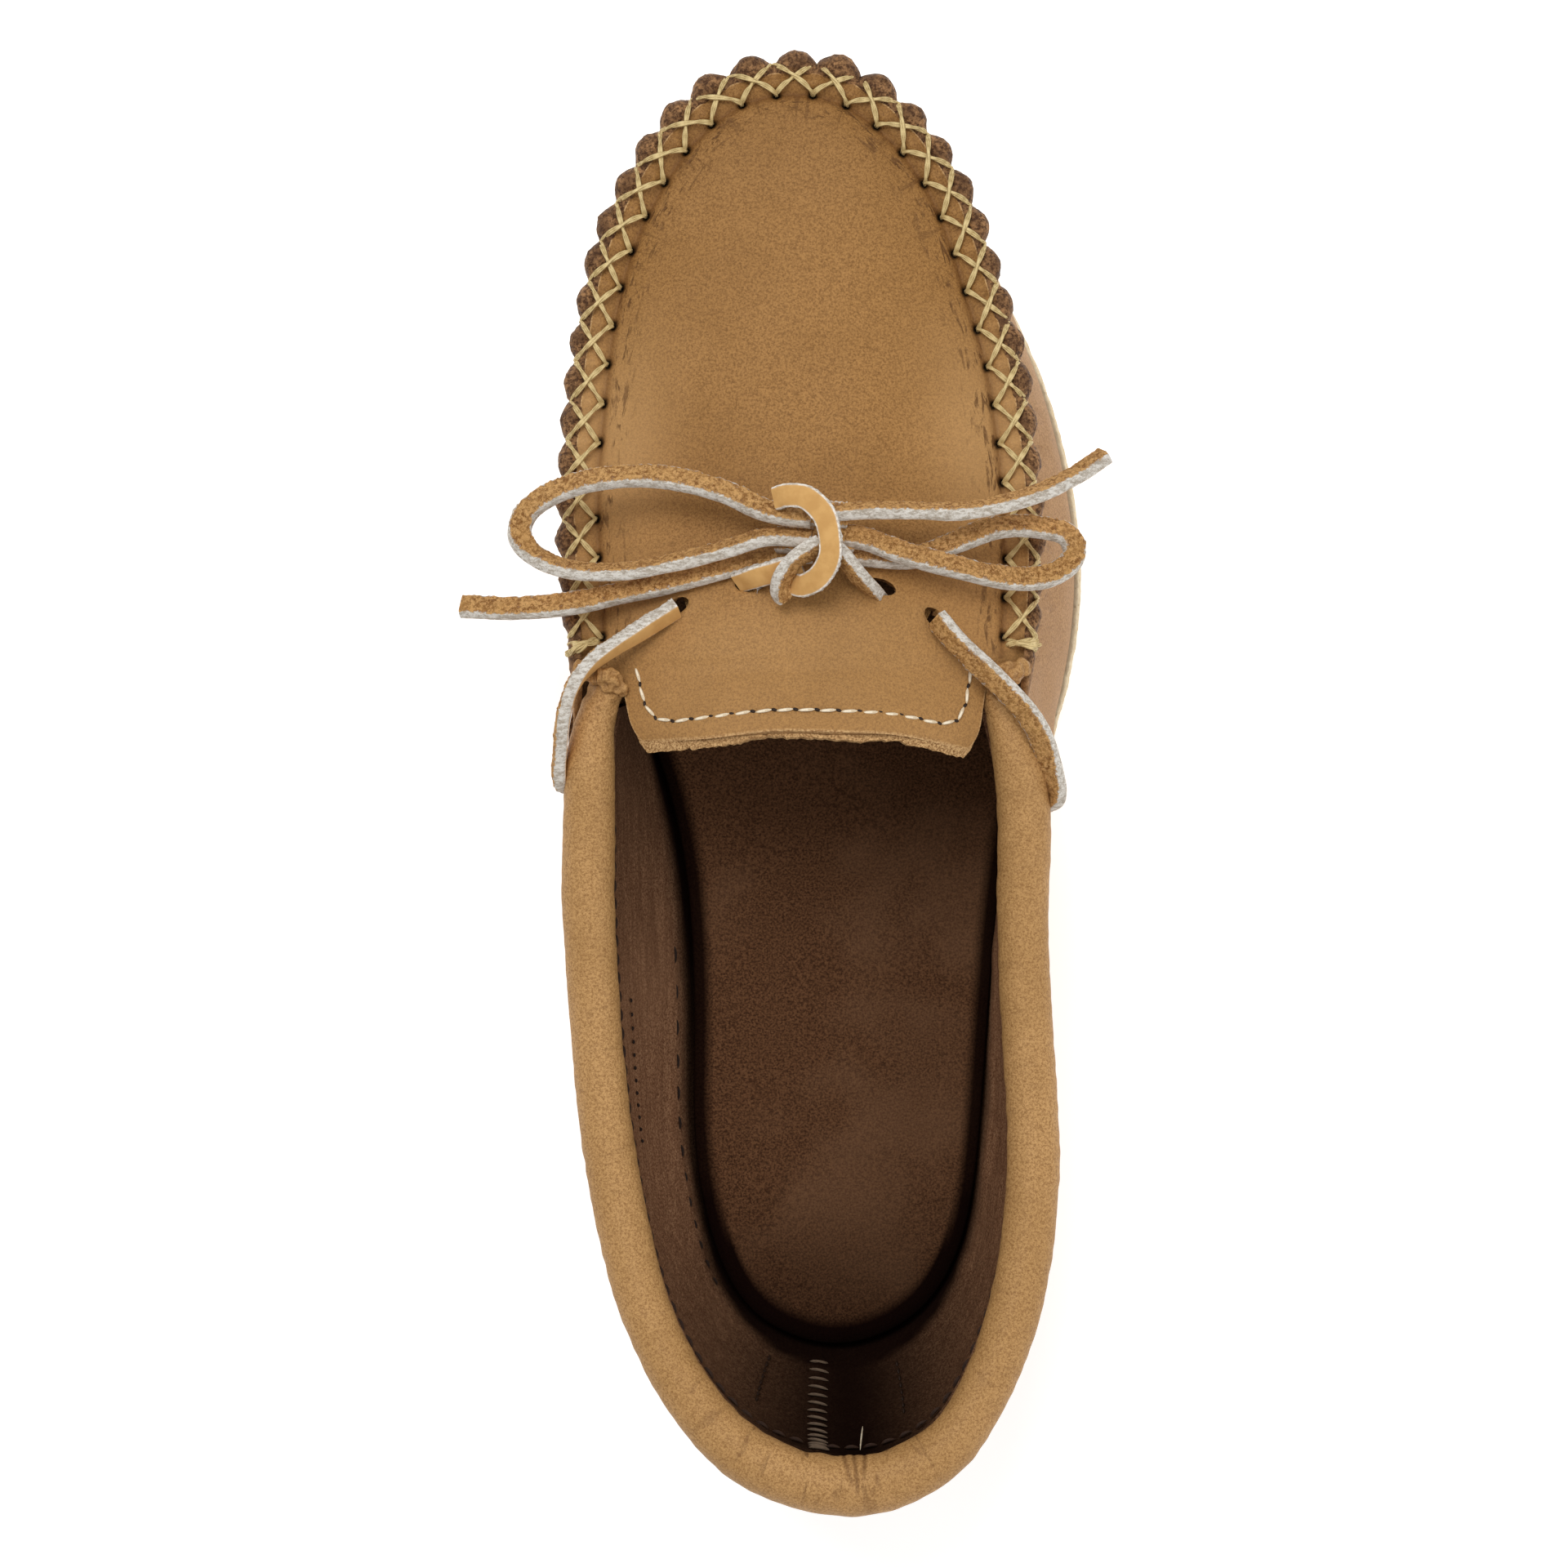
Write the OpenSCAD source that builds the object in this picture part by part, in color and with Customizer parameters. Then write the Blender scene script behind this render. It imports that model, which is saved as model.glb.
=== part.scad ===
// Leather moccasin for a right foot: wraparound upper, sewn plug, padded collar, lace and bow.
// +Y points to the toe, +X to the outer side of the foot, and the sole stands on z = 0.

/* [Size] */
// Length of the whole shoe
shoe_l = 281; // [250:1:310]
// Width of the whole shoe
shoe_w = 104; // [92:1:114]

/* [Sole] */
// Thickness of the crepe outsole
sole_t = 8; // [5:0.5:12]
// How far the outsole stands out past the upper
sole_lip = 1.5; // [0.5:0.1:2.5]
// Thickness of the insole foam
insole_t = 3; // [2:0.5:5]
// Thickness of the suede footbed
footbed_t = 1.2; // [0.8:0.1:2]

/* [Leather] */
// Thickness of the wraparound upper
upper_t = 1.8; // [1.2:0.1:2.2]
// Thickness of the plug and tongue
plug_t = 1.6; // [1.2:0.1:2.2]
// Thickness of the linings
lining_t = 1; // [0.7:0.1:1.4]
// Thickness of the heel counter and the heel patch
counter_t = 1.2; // [0.8:0.1:1.5]

/* [Collar] */
// Outside diameter of the padded collar roll
collar_d = 10; // [9:0.5:12]
// Thickness of the leather round the collar
collar_skin_t = 1.2; // [0.8:0.1:1.6]

/* [Seam] */
// Number of needle holes along each side of the plug seam, with a crossed stitch between two
hole_n = 34; // [24:1:40]
// Thickness of the plug seam thread
thread_d = 1.1; // [0.8:0.1:1.4]
// Height of the raised seam above its base line
ridge_h = 3.2; // [2:0.1:4]

/* [Tongue] */
// Length of the loose end of the tongue
tongue_l = 13.5; // [10:0.5:16]
// Number of stitches along the tongue edge
tongue_stitch_n = 26; // [16:1:32]

/* [Lace] */
// Width of the flat lace
lace_w = 4.4; // [3:0.1:5]
// Thickness of the flat lace
lace_t = 2.2; // [1.6:0.1:2.6]
// Diameter of the bow's knot
knot_d = 17; // [15:0.5:18]

/* [Hidden] */

// Clearance between neighbouring pieces
gap = 0.25;
// Scale of the stations below, which are written for a 281 by 104 shoe
k_l = shoe_l / 281;
k_w = shoe_w / 104;
// Shift that centres the stations on the origin
CENTRE = [0.25, 0.09];

// Stations round the shoe, anticlockwise from the back of the heel: [x, y] of the upper's
// lower edge on the sole, then [x, y, z] of its rim at the plug seam or under the collar.
STATIONS = [
    [2, -119, 2.5, -139.5, 55.5], [12, -117, 15.6, -137.4, 55.5], [21.5, -111, 27, -129.6, 55],
    [28.5, -101, 35.6, -115, 53], [32.5, -88, 40.9, -98, 50.5], [34.5, -71, 43.4, -76, 48],
    [36, -50, 42.5, -52, 46.5], [38, -27, 41.5, -28, 46.5], [41.5, -6, 41.5, -6, 48.5],
    [46, 10, 38.6, 10, 51.2], [49.4, 25, 36.8, 21.5, 52], [50.5, 42, 37.7, 42, 46],
    [48.3, 60, 36.9, 60, 41.5], [43.3, 78, 34.6, 78, 38.2], [35.8, 95, 30.4, 94, 35.8],
    [28, 111, 25, 110.5, 34], [18.5, 124, 16.3, 124.5, 32.8], [7, 133, 5, 133.6, 32.2],
    [-5, 135.5, -6.2, 136, 32], [-17, 133.5, -17.8, 133.8, 32.2], [-29, 125.5, -28.8, 125.4, 32.8],
    [-37.5, 114, -37, 113, 33.8], [-43, 101, -42.2, 100.5, 35.4], [-46, 84, -45.6, 84, 37.6],
    [-47, 66, -47.4, 66, 40.6], [-46.5, 48, -48, 48, 45], [-43, 25, -46.6, 21.5, 52],
    [-39.5, 10, -49, 10, 51.2], [-34.5, -6, -49.8, -6, 48.8], [-31, -26, -50, -26, 47.2],
    [-30, -50, -48.7, -50, 46.2], [-30, -71, -46.3, -72, 46.8], [-28, -88, -42.4, -92, 49],
    [-24, -101, -37, -108.5, 52], [-17.5, -111, -27.8, -124, 54], [-8, -117, -14.2, -135.4, 55.2]
];
STEPS = 2;
// First and last stations of the plug seam, and those of the collar
SEAM_FIRST = 10;
SEAM_LAST = 26;
COLLAR_FIRST = 27;
COLLAR_LAST = 45;

// How far the insole and the footbed stand in from the upper's lower edge
INSOLE_IN = 6;
// How far the collar roll reaches out past the rim, and the lining's depth inside the wall's foot
COLLAR_LAP = 1;
LINING_IN = 4.4;
// Bulge of the wall above the sole, its share of the rim's overhang, and the bulge below the rim
LOW_BULGE = 3.5;
OVERHANG_SHARE = 0.3;
HIGH_BULGE = 3;

// Height of the plug's crown over the line between its two edges, from the throat to the toe
CROWN = [12, 11.5, 11, 9.8, 8.6, 7, 4.6, 2.2, 0];
// Inner and outer side of the tongue at its fold, and the same at its free corners
TONGUE_X = [-41.5, 31.5];
TONGUE_CORNER_X = [-36.5, 26.5];
// The tongue's fold: its y and the height of its sides. Then the arch of its middle, what the
// free edge adds to both, and how much further back its corners reach
TONGUE_FOLD = [20.6, 54.6];
TONGUE_ARCH = 8.8;
TONGUE_RISE = [4.6, 3.4];
TONGUE_DIP = 3;

// Room round the lace in its slits, and the depth of the cut that makes them
SLIT_ROOM = [2, 1.2];
SLIT_CUT = 14;
// Slits for the lace through the plug: middle [x, y, z] and heading
SLITS = [[-28.8, 31.2, 57, 20], [-14.2, 35.4, 59, 12], [11, 34.8, 59, -33], [20.7, 28.9, 58, -33]];

// Points on the lace's route, each [x, y, z]
LEFT_SIDE = [
    [-28.6, 30.8, 60], [-34, 27.4, 61], [-39.6, 23.9, 61.5], [-44.4, 20.6, 61.5],
    [-48, 16.4, 61.1], [-50, 10.8, 59.9], [-50.8, 4.8, 57.4], [-51.2, -1, 54]
];
RIGHT_SIDE = [
    [20.7, 28.9, 61], [24.5, 24.2, 62], [29.5, 19.4, 62.5], [34.2, 14.8, 62], [38, 10.6, 60.8],
    [40.8, 6, 59], [42.6, 0.8, 56.6], [43.9, -4.5, 53.4]
];
LEFT_UNDER = [
    [-27, 32, 53.6], [-22, 33.4, 54], [-17.5, 34.6, 55], [-15.2, 35.1, 57.4], [-12.8, 35.4, 60.4],
    [-7.3, 36.3, 62.8]
];
RIGHT_UNDER = [
    [19.5, 29.8, 54.6], [15.5, 32, 55], [13, 33.4, 56], [11.2, 34.6, 58.8], [9.4, 35.8, 61.8]
];
KNOT_AT = [-2, 45, 63.6];
LEFT_LOOP = [
    [-11.5, 49, 64.4], [-20, 52.8, 63.8], [-31, 55.5, 61.8], [-42, 55.5, 59.6], [-50.5, 53.5, 58],
    [-57, 49.5, 57], [-58.5, 44.5, 57], [-55, 40.5, 57.8], [-48, 38, 59.2], [-38, 37.8, 60.8],
    [-27, 39.8, 62.4], [-18.5, 42, 63.2], [-11.5, 44, 64]
];
LEFT_TAIL = [
    [-10.5, 40.6, 60.2], [-19, 38.6, 59.9], [-29, 36, 59.2], [-39, 33.8, 57.8], [-49, 31.8, 56.8],
    [-60, 31, 54], [-70, 31.5, 51.5]
];
RIGHT_LOOP = [
    [6.8, 43.8, 63], [14, 41.2, 63.4], [24, 38.6, 61.6], [34, 36.6, 59], [42, 37, 56.8],
    [47, 40.5, 55.6], [46, 44.8, 55.4], [40, 46.5, 56], [32, 46.2, 57.2], [24, 43.2, 58.4],
    [17, 40.6, 58.8], [9.4, 40.6, 59.6]
];
RIGHT_TAIL = [
    [6.8, 49, 64.5], [15, 49, 65], [26, 49, 63.8], [38, 51.8, 61], [47, 56, 58.6], [53, 60, 57]
];

// Zigzag bars of the heel seam, and the span of the wall that they cover
HEEL_BARS = 14;
HEEL_BAR = [4, 0.8, 0.8];
HEEL_BAR_TURN = 9;
HEEL_BAR_OFF = 1.4;
HEEL_SEAM_V = [0.2, 0.88];
HEEL_SEAM_STATION = 71;
// Span of the heel patch up the wall, and stations to either side that it reaches
PATCH_V = [0.14, 0.78];
PATCH_REACH = 5;
COUNTER_REACH = 9;
// Stitches by the collar, their height up the wall and how far they stand off the lining
COLLAR_STITCH = [2.6, 0.7, 0.7];
COLLAR_STITCH_V = 0.8;
COLLAR_STITCH_OFF = 1;
// Stitches along the tongue: their place from fold to edge and from side to side, lift and turn
TONGUE_STITCH = [1.9, 0.8, 0.5];
TONGUE_STITCH_T = 0.72;
TONGUE_STITCH_S = [0.06, 0.94];
TONGUE_STITCH_LIFT = 0.85;
TONGUE_STITCH_TURN = 15;
// Stitches by the heel patch, how many there are in a row and how far they stand off it
PATCH_STITCH = [0.7, 0.7, 2];
PATCH_STITCH_ROWS = 12;
PATCH_STITCH_OFF = 0.8;
// How far the lace at the heel runs below the collar roll
HEEL_RUN_DROP = 2.4;

// Point at t on a smooth curve from b to c, with a and d as its neighbours
function curve_at(a, b, c, d, t) =
    0.5 * (2 * b + (c - a) * t + (2 * a - 5 * b + 4 * c - d) * t * t
        + (3 * b - 3 * c + d - a) * t * t * t);

// Smooth closed ring through points, with m steps in each span
function smooth_ring(points, m) =
    let (n = len(points))
    [for (i = [0:n - 1]) for (j = [0:m - 1])
        curve_at(points[(i + n - 1) % n], points[i], points[(i + 1) % n], points[(i + 2) % n], j / m)];

scaled = [for (s = STATIONS) [
    (s[0] + CENTRE[0]) * k_w, (s[1] + CENTRE[1]) * k_l,
    (s[2] + CENTRE[0]) * k_w, (s[3] + CENTRE[1]) * k_l, s[4]]];
last = smooth_ring(scaled, STEPS);
count = len(last);

function wrap(k) = (k + count) % count;

// Outward direction of the shoe's side at station k
function outward(k) =
    let (a = last[wrap(k - 1)], b = last[wrap(k + 1)], t = [b[2] - a[2], b[3] - a[3]])
    [t[1], -t[0], 0] / norm(t);

function base(k) = [last[wrap(k)][0], last[wrap(k)][1], sole_t];
function rim(k) = [last[wrap(k)][2], last[wrap(k)][3], last[wrap(k)][4]];
up = [0, 0, 1];

// Bulge of the wall just above the sole: more where the rim overhangs the sole
function low_bulge(k) = LOW_BULGE + OVERHANG_SHARE * (rim(k) - base(k)) * outward(k);

// Point on the upper's outer face at station k, v from 0 at the sole to 1 at the rim
function wall(k, v) =
    let (a = base(k), d = rim(k), rise = (d[2] - a[2]) / 3.6,
        b = a + low_bulge(k) * outward(k) + rise * up,
        c = d + HIGH_BULGE * outward(k) - rise * up, w = 1 - v)
    w * w * w * a + 3 * w * w * v * b + 3 * w * v * v * c + v * v * v * d;

// The same point moved inwards from the face
function inside(k, v, depth) = wall(k, v) - depth * outward(k);

// 1 along the plug seam, 0 under the collar, with a short blend at the throat
function seam_share(k) =
    let (from = (SEAM_FIRST - 1) * STEPS, to = (SEAM_LAST + 1) * STEPS)
    min(1, max(0, min(k - from, to - k) / STEPS));

function mix(a, b, t) = a * (1 - t) + b * t;

// Triangles that join rings of m points; closed rings, with flat caps at both ends
function tube_faces(rows, m) = concat(
    [for (r = [0:rows - 2]) for (i = [0:m - 1])
        each [[r * m + i, r * m + (i + 1) % m, (r + 1) * m + (i + 1) % m],
            [r * m + i, (r + 1) * m + (i + 1) % m, (r + 1) * m + i]]],
    [[for (i = [m - 1:-1:0]) i]], [[for (i = [0:m - 1]) (rows - 1) * m + i]]);

// Triangles across one end of a strip whose section is m points out and m points back
function strip_end(first, m, flip) =
    [for (i = [0:m - 2])
        let (a = first + i, b = first + i + 1, c = first + 2 * m - 2 - i, d = first + 2 * m - 1 - i)
        each flip ? [[a, c, b], [a, d, c]] : [[a, b, c], [a, c, d]]];

function strip_faces(rows, m) = concat(
    [for (r = [0:rows - 2]) for (i = [0:2 * m - 1])
        let (j = (i + 1) % (2 * m), a = r * 2 * m, b = (r + 1) * 2 * m)
        each [[a + i, a + j, b + j], [a + i, b + j, b + i]]],
    strip_end(0, m, true), strip_end((rows - 1) * 2 * m, m, false));

// Solid through a stack of rings that all have the same number of points
module rings(rows) {
    polyhedron([for (r = rows) each r], tube_faces(len(rows), len(rows[0])));
}

// Solid through a stack of thin sections, each a face outwards and then the face back
module strip(rows) {
    polyhedron([for (r = rows) each r], strip_faces(len(rows), len(rows[0]) / 2));
}

// Flat tube of the lace's section along a route, with its flat side up at the start and turned
// to a direction by the end
module lace_tube(route, end_face = up) {
    n = len(route);
    rings([for (i = [0:n - 1])
        let (t = route[min(i + 1, n - 1)] - route[max(i - 1, 0)], face = mix(up, end_face, i / (n - 1)),
            side = cross(t, face) / norm(cross(t, face)), over = cross(side, t) / norm(t))
        [for (a = [0:45:315])
            [route[i][0] * k_w, route[i][1] * k_l, route[i][2]]
                + lace_w / 2 * cos(a) * side + lace_t / 2 * sin(a) * over]]);
}

// Outline of the sole's plan, moved out from the upper's lower edge
function plan(out) = [for (k = [0:count - 1]) let (p = base(k) + out * outward(k)) [p[0], p[1]]];

// A small stitch at a place, turned to a heading
module stitch(place, heading, size) {
    translate(place) rotate([0, 0, heading]) cube(size, center = true);
}

module outsole() {
    color("wheat") linear_extrude(sole_t) polygon(plan(sole_lip));
}

module insole_foam() {
    color("lightgray")
        translate([0, 0, sole_t + upper_t]) linear_extrude(insole_t) polygon(plan(-INSOLE_IN));
}

module footbed() {
    color("saddlebrown") translate([0, 0, sole_t + upper_t + insole_t])
        linear_extrude(footbed_t) polygon(plan(-INSOLE_IN));
}

// Offsets of the gathered edge at the seam, and those of the plain edge under the collar,
// each [out, up] from the rim, from the outer face over the top to the inner face
SEAM_EDGE = [[3.2, -4], [4.5, -1.5], [3.9, 1.6], [0.2, ridge_h], [0.2, -2.5]];
COLLAR_EDGE = [[0.1, -2.4], [0.1, -1.6], [0.1, -0.8], [0, 0], [-upper_t, -1.8]];

module upper() {
    rise_v = [0, 0.1, 0.25, 0.42, 0.6, 0.76];
    round = [for (k = [count - 1:-1:0]) k];
    color("peru") rings(concat(
        [for (v = rise_v) [for (k = round) wall(k, v)]],
        [for (e = [0:len(SEAM_EDGE) - 1]) [for (k = round)
            let (o = mix(COLLAR_EDGE[e], SEAM_EDGE[e], seam_share(k)))
            rim(k) + o[0] * outward(k) + o[1] * up]],
        [for (i = [len(rise_v) - 1:-1:1]) [for (k = round)
            inside(k, rise_v[i], upper_t)
                + up * (rise_v[i] < 0.2 ? upper_t * 0.6 : 0)]],
        [[for (k = round) inside(k, 0, upper_t) + up * upper_t]]));
}

// Station pairs across the plug: the outer side's station and the inner side's
function pair(r) = [SEAM_FIRST * STEPS + r, SEAM_LAST * STEPS - r];
plug_rows = (SEAM_LAST - SEAM_FIRST) * STEPS / 2;
// Height of the plug over its arch, from its edge inwards, and the places of those points
PLUG_EDGE = [ridge_h, 0.8, -0.2, 0, 0, 0, 0, 0, -0.2, 0.8, ridge_h];
function plug_across(width) =
    let (e = min(0.12, 2.2 / width), f = min(0.22, 5 / width))
    [0, e, f, 0.24, 0.36, 0.5, 0.64, 0.76, 1 - f, 1 - e, 1];

// Arch across the plug and the tongue, from 0 at one side to 1 in the middle and 0 again
function arch_at(s) = 1 - pow(abs(2 * s - 1), 2.2);

function crown(r) =
    let (i = floor(r / STEPS), f = r / STEPS - i)
    mix(CROWN[i], CROWN[min(i + 1, len(CROWN) - 1)], f);

// Plug surface in row r (0 at the throat) at place i across it
function plug_at(r, i) =
    let (p = pair(r), a = rim(p[0]) - 0.25 * outward(p[0]), b = rim(p[1]) - 0.25 * outward(p[1]),
        s = plug_across(norm(a - b))[i])
    mix(a, b, s) + up * (crown(r) * arch_at(s) + PLUG_EDGE[i]);

// Slot through the plug where the lace passes, turned to the lace's heading
module lace_slit(place, heading) {
    translate([place[0] * k_w, place[1] * k_l, place[2]]) rotate([0, 0, heading])
        cube([lace_w + SLIT_ROOM[0], lace_w + SLIT_ROOM[1], SLIT_CUT], center = true);
}

module plug() {
    across = [for (i = [0:len(PLUG_EDGE) - 1]) i];
    color("peru") difference() {
        strip([for (r = [0:plug_rows - 1])
            concat([for (i = across) plug_at(r, i)],
                [for (i = [len(across) - 1:-1:0]) plug_at(r, i) - plug_t * up])]);
        for (slit = SLITS) lace_slit([slit[0], slit[1], slit[2]], slit[3]);
    }
}

// Tongue surface: t from 0 at its fold to 1 at its free edge, s across from side to side
function tongue_at(t, s, drop) =
    let (x0 = mix(TONGUE_X[0], TONGUE_CORNER_X[0], t), x1 = mix(TONGUE_X[1], TONGUE_CORNER_X[1], t),
        arch = arch_at(s), dip = TONGUE_DIP * (1 - arch) * t)
    [mix(x0, x1, s) * k_w, (TONGUE_FOLD[0] - t * (tongue_l + dip)) * k_l,
        TONGUE_FOLD[1] + TONGUE_ARCH * arch + t * (TONGUE_RISE[0] + TONGUE_RISE[1] * arch) - drop];

module tongue_sheet(top, thick, t1, margin) {
    strip([for (t = [0:t1 / 4:t1])
        concat([for (s = [0:0.1:1]) tongue_at(t, mix(margin, 1 - margin, s), top)],
            [for (s = [1:-0.1:0]) tongue_at(t, mix(margin, 1 - margin, s), top + thick)])]);
}

module tongue() {
    color("peru") tongue_sheet(0, plug_t, 1, 0);
}

module tongue_lining() {
    color("tan") tongue_sheet(plug_t + gap, lining_t, 0.94, 0.02);
}

module tongue_stitches() {
    color("cornsilk") for (i = [0:tongue_stitch_n - 1])
        let (s = mix(TONGUE_STITCH_S[0], TONGUE_STITCH_S[1], i / (tongue_stitch_n - 1)),
            p = tongue_at(TONGUE_STITCH_T, s, 0))
        stitch(p + TONGUE_STITCH_LIFT * up, TONGUE_STITCH_TURN, TONGUE_STITCH);
}

// Middle line of the collar roll, which sits on the upper's rim
collar_r = collar_d / 2;
function collar_mid(k) = rim(k) + (collar_r - COLLAR_LAP) * (up - outward(k));
function collar_round(k, radius, angle) =
    collar_mid(k) + radius * (cos(angle) * outward(k) + sin(angle) * up);
collar_range = [for (k = [COLLAR_FIRST * STEPS:COLLAR_LAST * STEPS]) k];

module collar_cover() {
    color("burlywood") strip([for (k = collar_range)
        concat([for (a = [-60:30:240]) collar_round(k, collar_r, a)],
            [for (a = [240:-30:-60]) collar_round(k, collar_r - collar_skin_t, a)])]);
}

module collar_foam() {
    radius = collar_r - collar_skin_t - gap;
    color("lightgray") rings([for (k = collar_range)
        [for (a = [0:36:324]) collar_round(k, radius, a)]]);
}

// Inner face of the rear part: further in near the collar, so that the roll stands over both
function lining_depth(v) = LINING_IN + (collar_d - COLLAR_LAP - LINING_IN) * v;

module quarter_lining() {
    heights = [0.06, 0.25, 0.5, 0.75, 0.97];
    color("sienna") strip([for (k = [(COLLAR_FIRST + 1) * STEPS:(COLLAR_LAST - 1) * STEPS])
        concat([for (v = heights) inside(k, v, lining_depth(v))],
            [for (i = [len(heights) - 1:-1:0])
                inside(k, heights[i], lining_depth(heights[i]) + lining_t)])]);
}

module heel_counter() {
    heights = [0.25, 0.42, 0.6, 0.76];
    color("gainsboro") strip([for (k = [-COUNTER_REACH:COUNTER_REACH])
        concat([for (v = heights) inside(k, v, upper_t + gap)],
            [for (i = [len(heights) - 1:-1:0]) inside(k, heights[i], upper_t + gap + counter_t)])]);
}

module heel_patch() {
    heights = [for (i = [0:4]) mix(PATCH_V[0], PATCH_V[1], i / 4)];
    color("chocolate") strip([for (k = [-PATCH_REACH:PATCH_REACH])
        concat([for (v = heights) inside(k, v, -gap - counter_t)],
            [for (i = [len(heights) - 1:-1:0]) inside(k, heights[i], -gap)])]);
}

module heel_patch_stitches() {
    lift = -gap - counter_t - PATCH_STITCH_OFF;
    color("cornsilk") for (side = [-1, 1]) for (i = [0:PATCH_STITCH_ROWS - 1])
        let (v = mix(PATCH_V[0], PATCH_V[1], (i + 0.7) / (PATCH_STITCH_ROWS + 0.4)),
            k = side * (PATCH_REACH - 1), n = outward(k))
        translate(inside(k, v, lift)) rotate([0, 0, atan2(n[1], n[0]) + 90])
            cube(PATCH_STITCH, center = true);
}

module heel_seam_stitches() {
    k = HEEL_SEAM_STATION;
    n = outward(k);
    color("cornsilk") for (i = [0:HEEL_BARS - 1])
        let (v = mix(HEEL_SEAM_V[0], HEEL_SEAM_V[1], i / (HEEL_BARS - 1)),
            p = inside(k, v, lining_depth(v) + lining_t + HEEL_BAR_OFF))
        stitch(p, atan2(n[1], n[0]) + 90 + (i % 2 == 0 ? 1 : -1) * HEEL_BAR_TURN, HEEL_BAR);
}

module collar_stitches() {
    v = COLLAR_STITCH_V;
    color("cornsilk") for (k = [(COLLAR_FIRST + 1) * STEPS + 1:(COLLAR_LAST - 1) * STEPS - 1])
        let (n = outward(k), p = inside(k, v, lining_depth(v) + lining_t + COLLAR_STITCH_OFF))
        stitch(p, atan2(n[1], n[0]) + 90, COLLAR_STITCH);
}

// Seam line round the plug, as stations from the outer throat round the toe to the inner one
seam_range = [for (k = [SEAM_FIRST * STEPS:SEAM_LAST * STEPS]) k];
function seam_step(i) = i < len(seam_range) ? norm(rim(seam_range[i]) - rim(seam_range[i - 1])) : 0;
// Distance along the seam and number of each of its stations
seam_gone = [
    for (i = 0, gone = 0; i < len(seam_range); i = i + 1, gone = gone + seam_step(i)) [gone, i]];
seam_length = seam_gone[len(seam_gone) - 1][0];
// Reach of the seam thread inwards and outwards from the rim, its height there, and at its crest,
// and how far one thread passes over the other
THREAD_REACH = [3.6, 4];
THREAD_H = 3.4;
THREAD_CREST = 1.8;
THREAD_PASS = 0.6;

// Point by the seam at a distance along it, with an offset outwards and upwards
function seam_at(distance, out, rise) =
    let (f = lookup(distance, seam_gone), i = min(floor(f), len(seam_range) - 2), t = f - i,
        k = seam_range[i], j = seam_range[i + 1])
    mix(rim(k) + out * outward(k), rim(j) + out * outward(j), t) + rise * up;

// Flat run of thread between points
module thread_run(points) {
    half = thread_d / 2;
    rings([for (i = [0:len(points) - 1])
        let (t = points[min(i + 1, len(points) - 1)] - points[max(i - 1, 0)],
            side = cross(t, up) / norm(cross(t, up)), over = cross(side, t) / norm(t))
        [for (c = [[1, -0.6], [1, 0.6], [-1, 0.6], [-1, -0.6]])
            points[i] + half * c[0] * side + half * c[1] * over]]);
}

module plug_seam_thread() {
    pitch = seam_length / hole_n;
    color("khaki") for (i = [1:hole_n - 1]) for (way = [-0.5, 0.5])
        thread_run([
            seam_at((i + way) * pitch, -THREAD_REACH[0], THREAD_H),
            seam_at(i * pitch, 0, ridge_h + THREAD_CREST - way * THREAD_PASS),
            seam_at((i - way) * pitch, THREAD_REACH[1], THREAD_H)
        ]);
}

module lace_heel_run() {
    stations = [for (k = [(COLLAR_FIRST + 1) * STEPS + 1:2:(COLLAR_LAST - 1) * STEPS - 1]) k];
    color("goldenrod") lace_tube([for (k = stations)
        let (p = collar_mid(k) - (collar_r + HEEL_RUN_DROP) * up) [p[0] / k_w, p[1] / k_l, p[2]]]);
}

module lace_left_side() {
    color("goldenrod") lace_tube(LEFT_SIDE, [-1, 0, 0.2]);
}

module lace_right_side() {
    color("goldenrod") lace_tube(RIGHT_SIDE, [1, 0, 0.2]);
}

module lace_left_under() {
    color("goldenrod") lace_tube(LEFT_UNDER);
}

module lace_right_under() {
    color("goldenrod") lace_tube(RIGHT_UNDER);
}

module bow_knot() {
    r = knot_d / 2;
    thick = 2 * lace_w;
    color("goldenrod") translate([KNOT_AT[0] * k_w, KNOT_AT[1] * k_l, KNOT_AT[2]])
        rotate_extrude($fn = 48) {
            translate([0, -thick / 2]) square([r - thick / 2, thick]);
            translate([r - thick / 2, 0]) intersection() {
                circle(d = thick, $fn = 32);
                translate([0, -thick / 2]) square([thick / 2, thick]);
            }
        }
}

module bow_left_loop() {
    color("goldenrod") lace_tube(LEFT_LOOP);
}

module bow_left_tail() {
    color("goldenrod") lace_tube(LEFT_TAIL);
}

module bow_right_loop() {
    color("goldenrod") lace_tube(RIGHT_LOOP);
}

module bow_right_tail() {
    color("goldenrod") lace_tube(RIGHT_TAIL);
}

outsole();
upper();
plug();
tongue();
tongue_lining();
collar_cover();
collar_foam();
quarter_lining();
heel_counter();
heel_patch();
insole_foam();
footbed();
plug_seam_thread();
tongue_stitches();
collar_stitches();
heel_seam_stitches();
heel_patch_stitches();
lace_heel_run();
lace_left_side();
lace_right_side();
lace_left_under();
lace_right_under();
bow_knot();
bow_left_loop();
bow_left_tail();
bow_right_loop();
bow_right_tail();
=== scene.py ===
import math

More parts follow.
